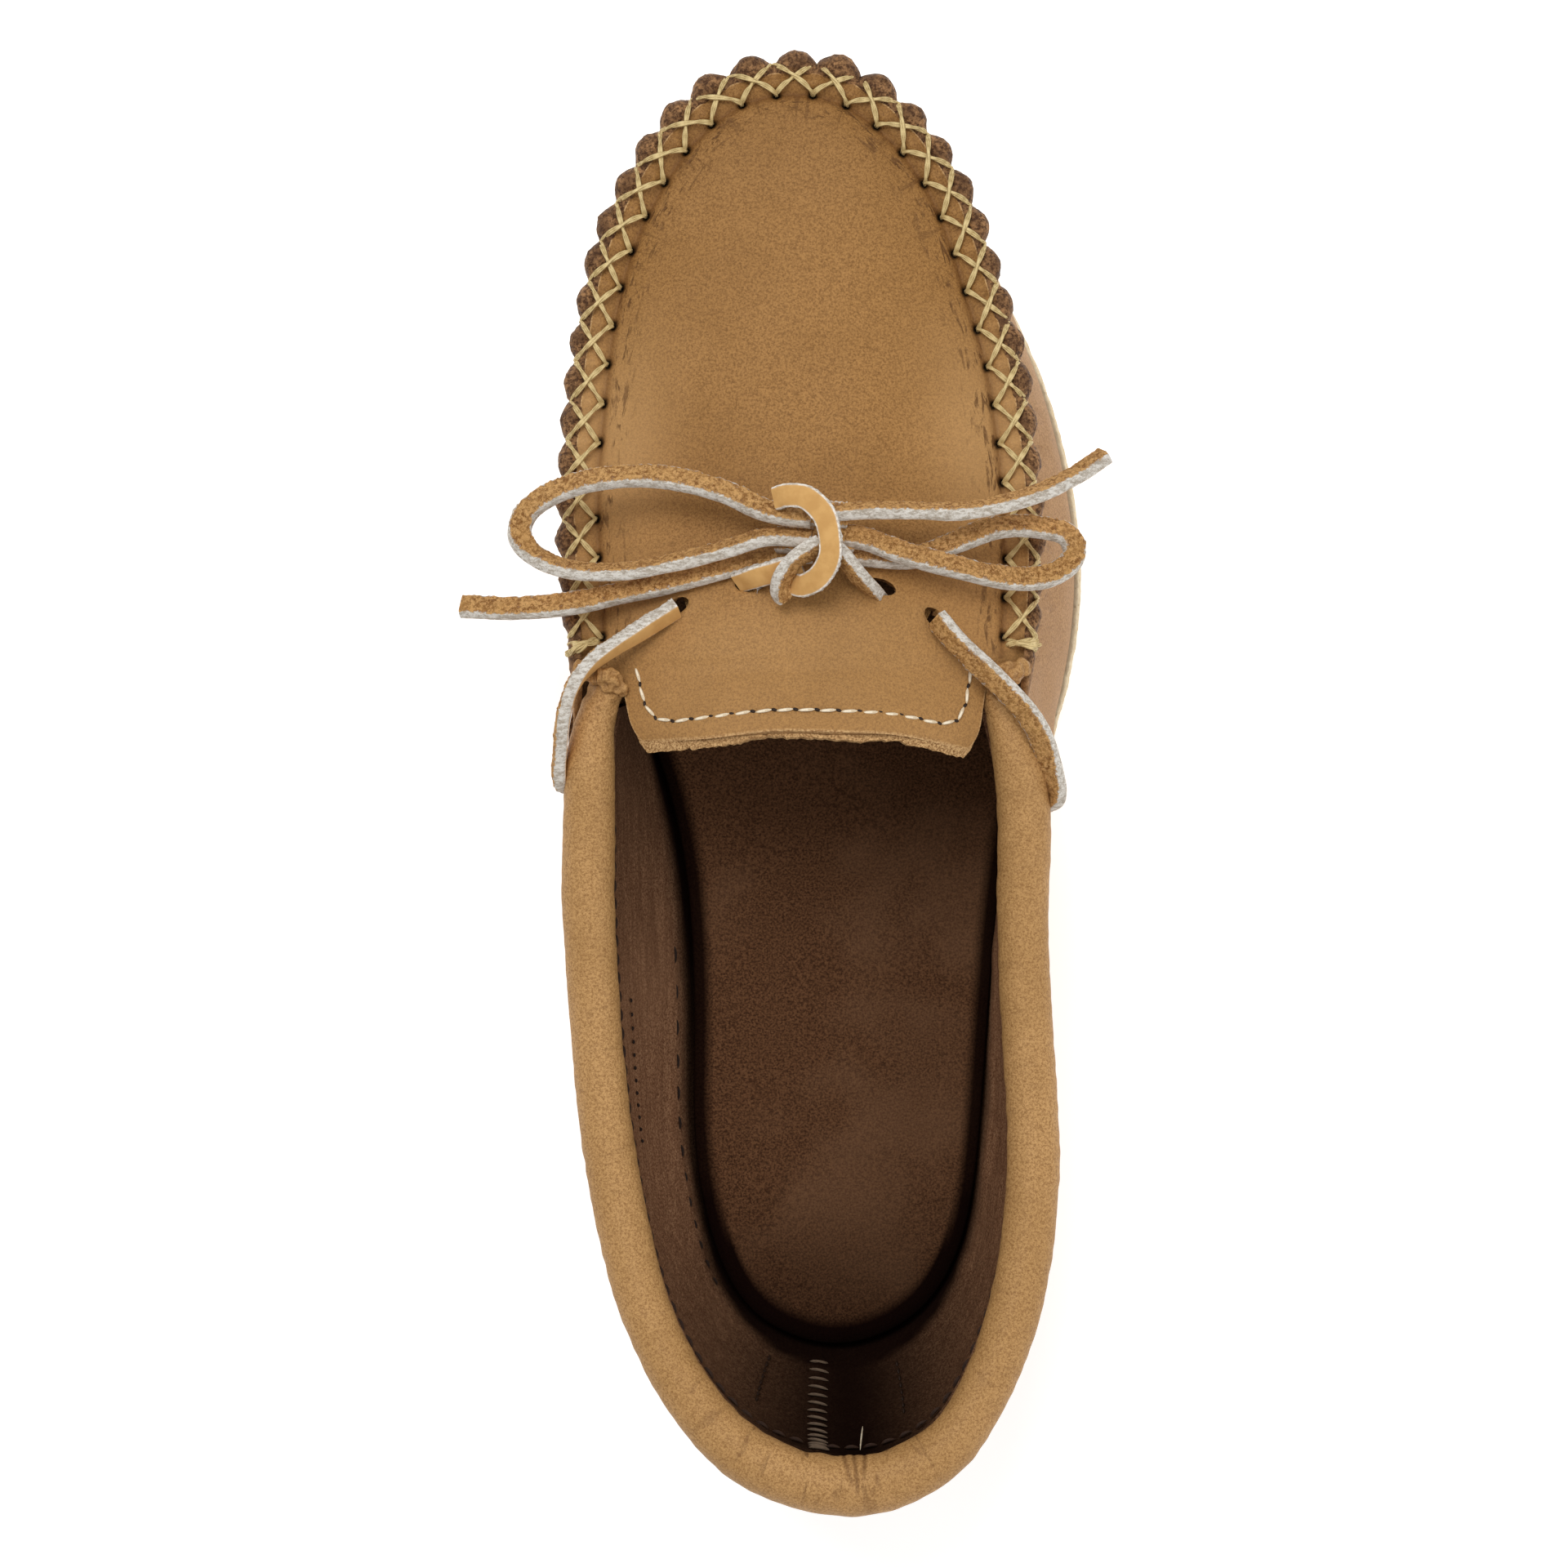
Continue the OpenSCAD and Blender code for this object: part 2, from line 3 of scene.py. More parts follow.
import bmesh
import bpy
import numpy as np
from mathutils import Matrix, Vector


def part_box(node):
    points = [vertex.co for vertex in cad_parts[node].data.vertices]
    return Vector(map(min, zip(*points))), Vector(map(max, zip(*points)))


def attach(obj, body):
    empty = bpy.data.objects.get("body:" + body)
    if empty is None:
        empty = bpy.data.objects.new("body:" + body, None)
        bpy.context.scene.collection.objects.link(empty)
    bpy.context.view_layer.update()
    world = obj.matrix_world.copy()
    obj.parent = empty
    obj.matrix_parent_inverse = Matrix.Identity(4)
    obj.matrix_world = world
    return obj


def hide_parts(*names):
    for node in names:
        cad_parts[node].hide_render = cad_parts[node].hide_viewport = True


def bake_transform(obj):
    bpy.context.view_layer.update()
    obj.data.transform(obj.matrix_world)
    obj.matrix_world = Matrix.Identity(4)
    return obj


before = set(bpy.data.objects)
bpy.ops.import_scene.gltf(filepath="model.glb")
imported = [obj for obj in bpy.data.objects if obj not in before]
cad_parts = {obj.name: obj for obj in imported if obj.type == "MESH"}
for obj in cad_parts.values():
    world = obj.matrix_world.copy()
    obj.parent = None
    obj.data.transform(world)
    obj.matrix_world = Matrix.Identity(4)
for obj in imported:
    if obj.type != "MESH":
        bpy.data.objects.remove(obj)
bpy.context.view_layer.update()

# Everything is worked out in millimetres in the CAD frame, +Y to the toe, and made in metres.
MM = 0.001
UP = np.array([0.0, 0.0, 1.0])

# Stations round the shoe, anticlockwise from the back of the heel, as in part.scad: x and y of
# the upper's lower edge on the sole, then x, y and z of its rim at the plug seam or the collar.
STATIONS = np.array([
    [2, -119, 2.5, -139.5, 55.5], [12, -117, 15.6, -137.4, 55.5], [21.5, -111, 27, -129.6, 55],
    [28.5, -101, 35.6, -115, 53], [32.5, -88, 40.9, -98, 50.5], [34.5, -71, 43.4, -76, 48],
    [36, -50, 42.5, -52, 46.5], [38, -27, 41.5, -28, 46.5], [41.5, -6, 41.5, -6, 48.5],
    [46, 10, 38.6, 10, 51.2], [49.4, 25, 36.8, 21.5, 52], [50.5, 42, 37.7, 42, 46],
    [48.3, 60, 36.9, 60, 41.5], [43.3, 78, 34.6, 78, 38.2], [35.8, 95, 30.4, 94, 35.8],
    [28, 111, 25, 110.5, 34], [18.5, 124, 16.3, 124.5, 32.8], [7, 133, 5, 133.6, 32.2],
    [-5, 135.5, -6.2, 136, 32], [-17, 133.5, -17.8, 133.8, 32.2], [-29, 125.5, -28.8, 125.4, 32.8],
    [-37.5, 114, -37, 113, 33.8], [-43, 101, -42.2, 100.5, 35.4], [-46, 84, -45.6, 84, 37.6],
    [-47, 66, -47.4, 66, 40.6], [-46.5, 48, -48, 48, 45], [-43, 25, -46.6, 21.5, 52],
    [-39.5, 10, -49, 10, 51.2], [-34.5, -6, -49.8, -6, 48.8], [-31, -26, -50, -26, 47.2],
    [-30, -50, -48.7, -50, 46.2], [-30, -71, -46.3, -72, 46.8], [-28, -88, -42.4, -92, 49],
    [-24, -101, -37, -108.5, 52], [-17.5, -111, -27.8, -124, 54], [-8, -117, -14.2, -135.4, 55.2],
], float)
COUNT = len(STATIONS)
# Stations of the plug seam's start, the toe and the seam's end, then of the collar's two ends
SEAM_FIRST, TOE, SEAM_LAST = 10, 18, 26
COLLAR_FIRST, COLLAR_LAST = 27, 45
# Rise of the plug's middle over its edge at the stations from SEAM_FIRST to TOE
CROWN = [12, 11.5, 11, 9.8, 8.6, 7, 4.6, 2.2, 0]
# Needle holes and crossings along the seam, and how far the sole stands out past the upper
PITCHES = 34
SOLE_LIP = 1.5

# The lace's routes and the knot's place, as in part.scad
LEFT_SIDE = [
    [-28.6, 30.8, 60], [-34, 27.4, 61], [-39.6, 23.9, 61.5], [-44.4, 20.6, 61.5],
    [-48, 16.4, 61.1], [-50, 10.8, 59.9], [-50.8, 4.8, 57.4], [-51.2, -1, 54]]
RIGHT_SIDE = [
    [20.7, 28.9, 61], [24.5, 24.2, 62], [29.5, 19.4, 62.5], [34.2, 14.8, 62], [38, 10.6, 60.8],
    [40.8, 6, 59], [42.6, 0.8, 56.6], [43.9, -4.5, 53.4]]
LEFT_UNDER = [
    [-27, 32, 53.6], [-22, 33.4, 54], [-17.5, 34.6, 55], [-15.2, 35.1, 57.4], [-12.8, 35.4, 60.4],
    [-7.3, 36.3, 62.8]]
RIGHT_UNDER = [
    [19.5, 29.8, 54.6], [15.5, 32, 55], [13, 33.4, 56], [11.2, 34.6, 58.8], [9.4, 35.8, 61.8]]
KNOT_AT = np.array([-2, 45, 63.6])
LEFT_LOOP = [
    [-11.5, 49, 64.4], [-20, 52.8, 63.8], [-31, 55.5, 61.8], [-42, 55.5, 59.6], [-50.5, 53.5, 58],
    [-57, 49.5, 57], [-58.5, 44.5, 57], [-55, 40.5, 57.8], [-48, 38, 59.2], [-38, 37.8, 60.8],
    [-27, 39.8, 62.4], [-18.5, 42, 63.2], [-11.5, 44, 64]]
LEFT_TAIL = [
    [-10.5, 40.6, 60.2], [-19, 38.6, 59.9], [-29, 36, 59.2], [-39, 33.8, 57.8], [-49, 31.8, 56.8],
    [-60, 31, 54], [-70, 31.5, 51.5]]
RIGHT_LOOP = [
    [6.8, 43.8, 63], [14, 41.2, 63.4], [24, 38.6, 61.6], [34, 36.6, 59], [42, 37, 56.8],
    [47, 40.5, 55.6], [46, 44.8, 55.4], [40, 46.5, 56], [32, 46.2, 57.2], [24, 43.2, 58.4],
    [17, 40.6, 58.8], [9.4, 40.6, 59.6]]
RIGHT_TAIL = [
    [6.8, 49, 64.5], [15, 49, 65], [26, 49, 63.8], [38, 51.8, 61], [47, 56, 58.6], [53, 60, 57]]
LACE_W, LACE_T = 4.4, 2.2
BAND_SIDES = 20


# ---- Curves and surfaces shared by the pieces ----

def smoothstep(x, low, high):
    t = np.clip((np.asarray(x, float) - low) / (high - low), 0, 1)
    return t * t * (3 - 2 * t)


def mix(a, b, t):
    return a * (1 - t) + b * t


def unit(v):
    return v / np.maximum(np.linalg.norm(v, axis=-1, keepdims=True), 1e-9)


def hump(x, middle, width):
    """1 at middle, falling smoothly towards 0 over a few widths to both sides."""
    return np.exp(-((x - middle) / width) ** 2)


def controls(points):
    """Control points of the smooth closed curve that passes through points."""
    one = np.eye(len(points))
    return np.linalg.solve((np.roll(one, 1, 0) + 4 * one + np.roll(one, -1, 0)) / 6, points)


def around(held, u):
    """The closed curve of the control points held, at u counted in points."""
    i = np.floor(u).astype(int)
    t = (u - i)[..., None]
    a, b, c, d = (held[(i + k) % len(held)] for k in (-1, 0, 1, 2))
    return ((1 - t) ** 3 * a + (3 * t ** 3 - 6 * t * t + 4) * b
            + (-3 * t ** 3 + 3 * t * t + 3 * t + 1) * c + t ** 3 * d) / 6


def along(points, steps):
    """Smooth open curve through points, with that many steps in each span."""
    p = np.asarray(points, float)
    p = np.vstack([2 * p[0] - p[1], p, 2 * p[-1] - p[-2]])
    t = np.arange(steps)[:, None] / steps
    spans = [0.5 * (2 * b + (c - a) * t + (2 * a - 5 * b + 4 * c - d) * t * t
                    + (3 * b - 3 * c + d - a) * t ** 3)
             for a, b, c, d in zip(p, p[1:], p[2:], p[3:])]
    return np.vstack(spans + [p[-2:-1]])


def distances(points):
    """How far along a line each of its points is."""
    return np.concatenate([[0], np.cumsum(np.linalg.norm(np.diff(points, axis=0), axis=1))])


def resample(points, step):
    """Points a step apart along a line."""
    gone = distances(points)
    at = np.linspace(0, gone[-1], max(2, int(round(gone[-1] / step)) + 1))
    return np.stack([np.interp(at, gone, points[:, k]) for k in range(3)], -1)


def at_height(plan, z):
    """Points of a plan at height z."""
    return np.concatenate([plan, np.full(plan.shape[:-1] + (1,), float(z))], -1)


def waves(points, size, seed, count=16):
    """Smooth noise of about -1 to 1, with lumps of about that size."""
    r = np.random.default_rng(seed)
    k = unit(r.normal(size=(count, points.shape[-1])))
    k *= 2 * math.pi / size * r.uniform(0.6, 1.5, (count, 1))
    return np.sin(points @ k.T + r.uniform(0, 6.3, count)).sum(-1) / math.sqrt(2 * count)


def outline(u, out):
    """The sole's plan at u, moved out from the upper's lower edge."""
    step = 0.02
    ring = around(LAST, np.asarray(u, float))
    ahead, behind = around(LAST, u + step), around(LAST, u - step)
    t = unit((ahead - behind)[..., 2:4])
    return ring[..., :2] + out * np.stack([t[..., 1], -t[..., 0]], -1)


def fit_stations():
    """The stations moved and scaled so that the sole's plan fills the CAD sole's box."""
    low, high = (np.array(c)[:2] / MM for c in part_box("outsole"))
    plan = outline(np.arange(0, COUNT, 0.1), SOLE_LIP)
    scale = (high - low) / (plan.max(0) - plan.min(0))
    move = low - plan.min(0) * scale
    fitted = STATIONS.copy()
    for first in (0, 2):
        fitted[:, first:first + 2] = STATIONS[:, first:first + 2] * scale + move
    return fitted


LAST = controls(STATIONS)
LAST = controls(fit_stations())
SOLE_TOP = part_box("outsole")[1].z / MM


def rim(u):
    return around(LAST, np.asarray(u, float))[..., 2:]


def base(u):
    return at_height(around(LAST, np.asarray(u, float))[..., :2], SOLE_TOP)


def outward(u):
    """Level direction out of the shoe at the rim."""
    u = np.asarray(u, float)
    t = rim(u + 0.25)[..., :2] - rim(u - 0.25)[..., :2]
    return at_height(unit(np.stack([t[..., 1], -t[..., 0]], -1)), 0)


def wall(u, v):
    """The upper's outer face at station u, v from 0 at the sole to 1 at the rim."""
    a, d, n = base(u), rim(u), outward(u)
    rise = ((d - a)[..., 2:] / 3.6) * UP
    lean = 3.5 + 0.3 * np.sum((d - a) * n, -1, keepdims=True)
    b, c = a + lean * n + rise, d + 3 * n - rise
    v = np.asarray(v, float)[..., None]
    w = 1 - v
    return w ** 3 * a + 3 * w * w * v * b + 3 * w * v * v * c + v ** 3 * d


def seam_table():
    """Stations and distances in pitches along the plug seam, and the length of a pitch."""
    u = np.linspace(SEAM_FIRST, SEAM_LAST, 1601)
    gone = distances(rim(u))
    return u, gone / gone[-1] * PITCHES, gone[-1] / PITCHES


SEAM_U, SEAM_S, PITCH = seam_table()


def seam_u(s):
    return np.interp(s, SEAM_S, SEAM_U)


def puff(s):
    """0 at the needle holes and 1 midway between them, where the threads cross."""
    return np.abs(np.cos(math.pi * (np.asarray(s, float) - np.round(s))))


def fullness(s):
    """How far the gathers stand out: most round the toe, least by the throat."""
    s = np.asarray(s, float)
    toe = hump(s, PITCHES / 2, 6.5)
    ends = smoothstep(s, 0.1, 1.4) * smoothstep(PITCHES - s, 0.1, 1.4)
    return (0.56 + 0.4 * toe) * ends


# Section of the plug's rolled edge: its height over the rim at distances outwards from the rim
PLUG_OUT = [-7, -5.6, -4.6, -3.9, -3.3, -2.7, -2.0, -1.3, -0.5, 0.3, 1.1]
PLUG_RISE = [0, 0, -0.05, -0.25, -0.45, 0.25, 1.35, 2.25, 2.8, 3.0, 2.7]

# Section of the upper's top edge, each point outwards from the rim and over it: at the needle
# holes, midway between them, where the gathers are full, and under the collar
GATHER_PINCHED = [
    (2.2, -5), (2.7, -3.6), (3.1, -2.2), (3.3, -1.0), (3.3, -0.1), (3.1, 0.6), (2.6, 1.4),
    (1.9, 2.1), (1.3, 2.3), (0.7, 2.2)]
GATHER_FULL = [
    (2.5, -5), (3.6, -3.7), (4.7, -2.4), (5.5, -1.1), (5.9, 0.2), (5.8, 1.5), (5.1, 2.6),
    (3.9, 3.2), (2.3, 3.1), (0.8, 2.3)]
RIM_EDGE = [
    (0.3, -5), (0.2, -3.8), (0.1, -2.9), (0.1, -2.2), (0.1, -1.6), (0, -1.0), (0, -0.5),
    (-0.2, -0.1), (-0.8, -0.4), (-1.6, -1.4)]
HOLES_OUT = -3.35


def hole_distance(s, out, longer):
    """Distance from the middle of the nearest needle hole, divided by longer along the seam."""
    return np.hypot((s - np.floor(s) - 0.5) * PITCH / longer, out - HOLES_OUT)


def plug_rise(s, out):
    """Height of the plug's rolled edge over the rim's line."""
    s, out = np.broadcast_arrays(s, out)
    rise = np.interp(out, PLUG_OUT, PLUG_RISE)
    ends = smoothstep(s, 0, 1) * smoothstep(PITCHES - s, 0, 1)
    hollow = 0.75 * puff(s) * smoothstep(out, -3.2, -1.2)
    pit = 1.9 * hump(hole_distance(s, out, 1.25), 0, 0.72)
    return (rise - hollow) * ends - pit


# ---- Meshes ----

def grid_faces(index, flip=False):
    a, b, c, d = index[:-1, :-1], index[:-1, 1:], index[1:, 1:], index[1:, :-1]
    faces = np.stack([a, b, c, d], -1).reshape(-1, 4)
    return faces[:, ::-1] if flip else faces


def grid(rows, closed=False):
    """Points of equal rows as one list, and the faces between them."""
    rows = np.asarray(rows, float)
    index = np.arange(rows.shape[0] * rows.shape[1]).reshape(rows.shape[:2])
    if closed:
        index = np.hstack([index, index[:, :1]])
    return rows.reshape(-1, 3), grid_faces(index)


def normals_of(points, faces):
    a, b, c, d = (points[faces[:, k]] for k in range(4))
    n = np.cross(c - a, d - b)
    total = np.zeros_like(points)
    for k in range(4):
        np.add.at(total, faces[:, k], n)
    return unit(total)


def turned(points, faces, out):
    """The faces with their normals on the side of out, and those normals."""
    normals = normals_of(points, faces)
    if np.sum(normals * out) < 0:
        return faces[:, ::-1], -normals
    return faces, normals


def thicken(points, faces, depth):
    """Closed shell from an open face: the face, the same face moved in, and walls at its edges."""
    n = len(points)
    inner = points - normals_of(points, faces) * depth
    edges = np.concatenate([faces[:, [k, (k + 1) % 4]] for k in range(4)])
    key = edges.min(1) * n + edges.max(1)
    _, where, times = np.unique(key, return_inverse=True, return_counts=True)
    free = edges[times[where] == 1]
    walls = np.stack([free[:, 1], free[:, 0], free[:, 0] + n, free[:, 1] + n], -1)
    return np.vstack([points, inner]), np.vstack([faces, faces[:, ::-1] + n, walls])


def outer(values):
    """Values of a shell's outer face, with 0 on its inner face."""
    flat = np.ravel(values)
    return np.concatenate([flat, flat * 0])


def add_object(name, data):
    thing = bpy.data.objects.new(name, data)
    bpy.context.scene.collection.objects.link(thing)
    return thing


def make(name, points, faces, material, body=None, slot=None, nodes=(), sharp=50, uv=None, **values):
    """A mesh piece in millimetres, with its values at each point, riding a body for CAD nodes."""
    used = np.unique(np.concatenate([np.ravel(f) for f in faces]))
    place = np.full(len(points), -1)
    place[used] = np.arange(len(used))
    mesh = bpy.data.meshes.new(name)
    corners = [place[np.asarray(f)].tolist() for f in faces]
    mesh.from_pydata((points[used] * MM).tolist(), [], corners)
    for key, value in values.items():
        full = np.broadcast_to(np.asarray(value, float), (len(points),))
        attribute = mesh.attributes.new(key, "FLOAT", "POINT")
        attribute.data.foreach_set("value", full[used].astype(np.float32))
    if uv is not None:
        layer = mesh.uv_layers.new(name="UVMap")
        loops = np.zeros(len(mesh.loops), int)
        mesh.loops.foreach_get("vertex_index", loops)
        layer.data.foreach_set("uv", np.asarray(uv, float)[used][loops].astype(np.float32).ravel())
    shape = bmesh.new()
    shape.from_mesh(mesh)
    bmesh.ops.recalc_face_normals(shape, faces=shape.faces)
    shape.to_mesh(mesh)
    shape.free()
    mesh.polygons.foreach_set("use_smooth", [True] * len(mesh.polygons))
    mesh.set_sharp_from_angle(angle=math.radians(sharp))
    mesh.materials.append(material)
    piece = add_object(name, mesh)
    if body:
        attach(piece, body)
    if nodes:
        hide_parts(*nodes)
    return piece


def capped(rings):
    """Points and faces through closed rings of equal size, with both ends closed."""
    points, faces = grid(rings, closed=True)
    n = len(rings[0])
    return points, list(faces) + [np.arange(n)[::-1], np.arange(len(points) - n, len(points))]


def section(count, square):
    """Rounded rectangle of half size 1."""
    a = np.arange(count) * 2 * math.pi / count
    c, s = np.cos(a), np.sin(a)
    return np.sign(c) * np.abs(c) ** square, np.sign(s) * np.abs(s) ** square


def band(path, facing, width, thick, count=BAND_SIDES, square=0.45):
    """Flat band along a path: points, faces, and side, which is 1 on the facing side."""
    path = np.asarray(path, float)
    t = unit(np.gradient(path, axis=0))
    over = np.asarray(facing, float) * np.ones((len(path), 1))
    over = unit(over - np.sum(over * t, 1, keepdims=True) * t)
    across = np.cross(t, over)
    x, y = section(count, square)
    w = np.reshape(width, (-1, 1, 1)) / 2
    h = np.reshape(thick, (-1, 1, 1)) / 2
    wide = w * x[None, :, None] * across[:, None]
    high = h * y[None, :, None] * over[:, None]
    points, faces = capped(path[:, None] + wide + high)
    return points, faces, np.tile(y, len(path))


def joined(parts):
    """Several (points, faces, value, ...) as one."""
    total, points, faces = 0, [], []
    values = [[] for _ in parts[0][2:]]
    for part in parts:
        points.append(part[0])
        faces += [np.asarray(f) + total for f in part[1]]
        total += len(part[0])
        for kept, value in zip(values, part[2:]):
            kept.append(value)
    return (np.vstack(points), faces) + tuple(np.concatenate(v) for v in values)


# ---- Materials ----

def srgb(r, g, b):
    """Linear colour from values of 0 to 255."""
    c = np.array([r, g, b]) / 255
    return tuple(np.where(c < 0.04045, c / 12.92, ((c + 0.055) / 1.055) ** 2.4)) + (1.0,)


class Finish:
    """A material made of nodes, with short calls for what all the finishes share."""

    def __init__(self, name, roughness, specular):
        self.material = bpy.data.materials.new(name)
        self.material.use_nodes = True
        self.tree = self.material.node_tree
        self.shader = self.tree.nodes["Principled BSDF"]
        self.feed(roughness, self.shader.inputs["Roughness"])
        self.feed(specular, self.shader.inputs["Specular IOR Level"])
        place = self.node("TexCoord", "Object", {})
        self.mm = self.node("VectorMath", 0, {0: place, "Scale": 1 / MM}, operation="SCALE")
        self.height = None

    def feed(self, value, socket):
        """Links a socket's value, or sets a number, or a colour from values of 0 to 255."""
        if isinstance(value, bpy.types.NodeSocket):
            self.tree.links.new(value, socket)
        elif socket.type == "RGBA" and len(value) == 3:
            socket.default_value = srgb(*value)
        else:
            socket.default_value = value

    def node(self, kind, output, values, **settings):
        """The named output of a new node with these settings and input values."""
        node = self.tree.nodes.new("ShaderNode" + kind)
        for key, setting in settings.items():
            setattr(node, key, setting)
        for key, value in values.items():
            self.feed(value, node.inputs[key])
        return node.outputs[output]

    def math(self, operation, a, b):
        return self.node("Math", 0, {0: a, 1: b}, operation=operation)

    def times(self, a, b):
        return self.math("MULTIPLY", a, b)

    def stretched(self, scale, source=None):
        return self.node("VectorMath", 0, {0: source or self.mm, 1: scale}, operation="MULTIPLY")

    def noise(self, size, detail=2.0, rough=0.5, source=None, warp=0.0):
        return self.node("TexNoise", "Fac", {
            "Vector": source or self.mm, "Scale": 1 / size, "Detail": detail, "Roughness": rough,
            "Distortion": warp})

    def cells(self, size, feature="F1"):
        values = {"Vector": self.mm, "Scale": 1 / size}
        return self.node("TexVoronoi", "Distance", values, feature=feature)

    def value(self, name):
        return self.node("Attribute", "Fac", {}, attribute_name=name)

    def flat(self):
        return self.node("UVMap", 0, {}, uv_map="UVMap")

    def ramp(self, value, low, high, a=0.0, b=1.0):
        """value taken from low..high to a..b, smoothly and without going past them."""
        values = {"Value": value, "From Min": low, "From Max": high, "To Min": a, "To Max": b}
        return self.node("MapRange", "Result", values, interpolation_type="SMOOTHSTEP")

    def clouds(self, size, detail, rough, low, high, a=0.0, b=1.0):
        return self.ramp(self.noise(size, detail, rough), low, high, a, b)

    def creases(self, scale, warp, low=0.33, high=0.42, most=1.0):
        """Lines drawn out over the flat pattern, only where near is above 0."""
        drawn = self.noise(1.0, 3, 0.6, self.stretched(scale, self.flat()), warp)
        return self.times(self.ramp(drawn, low, high, most, 0.0), self.value("near"))

    def blend(self, share, a, b):
        return self.node("Mix", "Result", {"Factor": share, "A": a, "B": b}, data_type="RGBA")

    def bump(self, height, depth, strength):
        """Adds a relief of that depth in millimetres."""
        values = {"Strength": strength, "Distance": depth * MM, "Height": height}
        if self.height is not None:
            values["Normal"] = self.height
        self.height = self.node("Bump", "Normal", values)

    def done(self, colour):
        self.feed(colour, self.shader.inputs["Base Color"])
        if self.height is not None:
            self.feed(self.height, self.shader.inputs["Normal"])
        return self.material


def grain_colour(f, pale, mid, deep):
    """Mottled tan: broad clouds, then fine specks as in pull-up leather."""
    colour = f.blend(f.clouds(30, 4, 0.6, 0.35, 0.65), mid, pale)
    colour = f.blend(f.times(f.clouds(0.5, 4, 0.85, 0.40, 0.60), 0.85), colour, deep)
    return f.blend(f.times(f.clouds(0.32, 3, 0.8, 0.46, 0.62), 0.5), colour, pale)


def grain_relief(f, depth=0.05):
    """Pebbled pores of full-grain leather."""
    pores = f.cells(0.8, "DISTANCE_TO_EDGE")
    f.bump(f.ramp(pores, 0.0, 0.25), depth, 0.5)
    f.bump(f.noise(0.35, 2, 0.6), depth * 0.6, 0.5)
    f.bump(f.noise(5, 3, 0.5), 0.25, 0.4)


def flesh_colour(f):
    """Mottled brown of the leather's rough side."""
    specks = f.clouds(0.9, 4, 0.75, 0.38, 0.62)
    broad = f.clouds(3.2, 3, 0.6, 0.3, 0.7, 0.25, 0.85)
    return f.blend(f.times(specks, broad), (70, 42, 20), (180, 134, 88))


def plug_finish():
    """Tan leather: flesh side below, pale cut edges, creases by the seam, with painted light on its sides
    and tongue and painted shade towards the toe, in the needle holes, along the hollow by the seam and in
    the creases.
    """
    f = Finish("plug_leather", roughness=0.62, specular=0.2)
    grain = grain_colour(f, (170, 125, 71), (155, 112, 60), (112, 75, 35))
    tone = f.value("tone")
    # Painted light on the sides and tongue, and painted shade towards the toe.
    grain = f.blend(f.ramp(tone, 0, 1), grain, (204, 160, 106))
    grain = f.blend(f.ramp(tone, 0, -1), grain, (92, 60, 28))
    crease = f.times(f.creases((0.2, 1.0, 0), 0.6, 0.37, 0.47), f.clouds(4.5, 3, 0.6, 0.36, 0.56))
    rays = f.times(f.creases((0.5, 0.09, 0), 0.5, most=0.6), f.value("toe"))
    crease = f.math("MAXIMUM", crease, rays)
    # Painted shade darkens the creases by the seam and the rays at the toe.
    grain = f.blend(f.times(crease, 0.75), grain, (84, 52, 26))
    # Painted shade along the hollow by the seam.
    grain = f.blend(f.value("hollow"), grain, (104, 66, 33))
    # Painted shade, near black, in the needle holes.
    grain = f.blend(f.value("hole"), grain, (14, 7, 3))
    edge = f.blend(f.clouds(0.5, 3, 0.7, 0.35, 0.65), (214, 176, 124), (150, 108, 66))
    colour = f.blend(f.value("raw"), grain, edge)
    colour = f.blend(f.value("flesh"), colour, flesh_colour(f))
    f.bump(crease, -0.25, 0.7)
    grain_relief(f, 0.06)
    return f.done(colour)


def upper_finish():
    """Paler tan leather, with its rough flesh side where the gathers turn in."""
    f = Finish("upper_leather", roughness=0.6, specular=0.2)
    grain = grain_colour(f, (192, 149, 102), (176, 133, 86), (132, 92, 52))
    crease = f.creases((0.42, 0.11, 0), 0.4)
    # Painted shade darkens the creases.
    grain = f.blend(f.times(crease, 0.3), grain, (96, 60, 34))
    colour = f.blend(f.value("flesh"), grain, flesh_colour(f))
    f.bump(f.times(f.noise(0.6, 3, 0.7), f.value("flesh")), 0.35, 0.8)
    f.bump(crease, -0.3, 0.6)
    grain_relief(f, 0.05)
    return f.done(colour)


def collar_finish():
    """Thin tan leather over the foam, wrinkled, with a few sharp creases at the heel."""
    f = Finish("collar_leather", roughness=0.58, specular=0.22)
    grain = grain_colour(f, (196, 152, 98), (180, 138, 85), (132, 92, 48))
    crease = f.math("MAXIMUM", f.creases((0.3, 0.08, 0), 0.3), f.value("line"))
    # Painted shade darkens the creases and the sharp creases at the heel.
    colour = f.blend(f.times(crease, 0.6), grain, (92, 56, 28))
    f.bump(crease, -0.3, 0.7)
    grain_relief(f, 0.05)
    return f.done(colour)


def patch_finish():
    """The heel patch's smooth tan leather."""
    f = Finish("patch_leather", roughness=0.6, specular=0.2)
    colour = grain_colour(f, (172, 128, 80), (154, 112, 66), (124, 86, 48))
    grain_relief(f, 0.06)
    return f.done(colour)


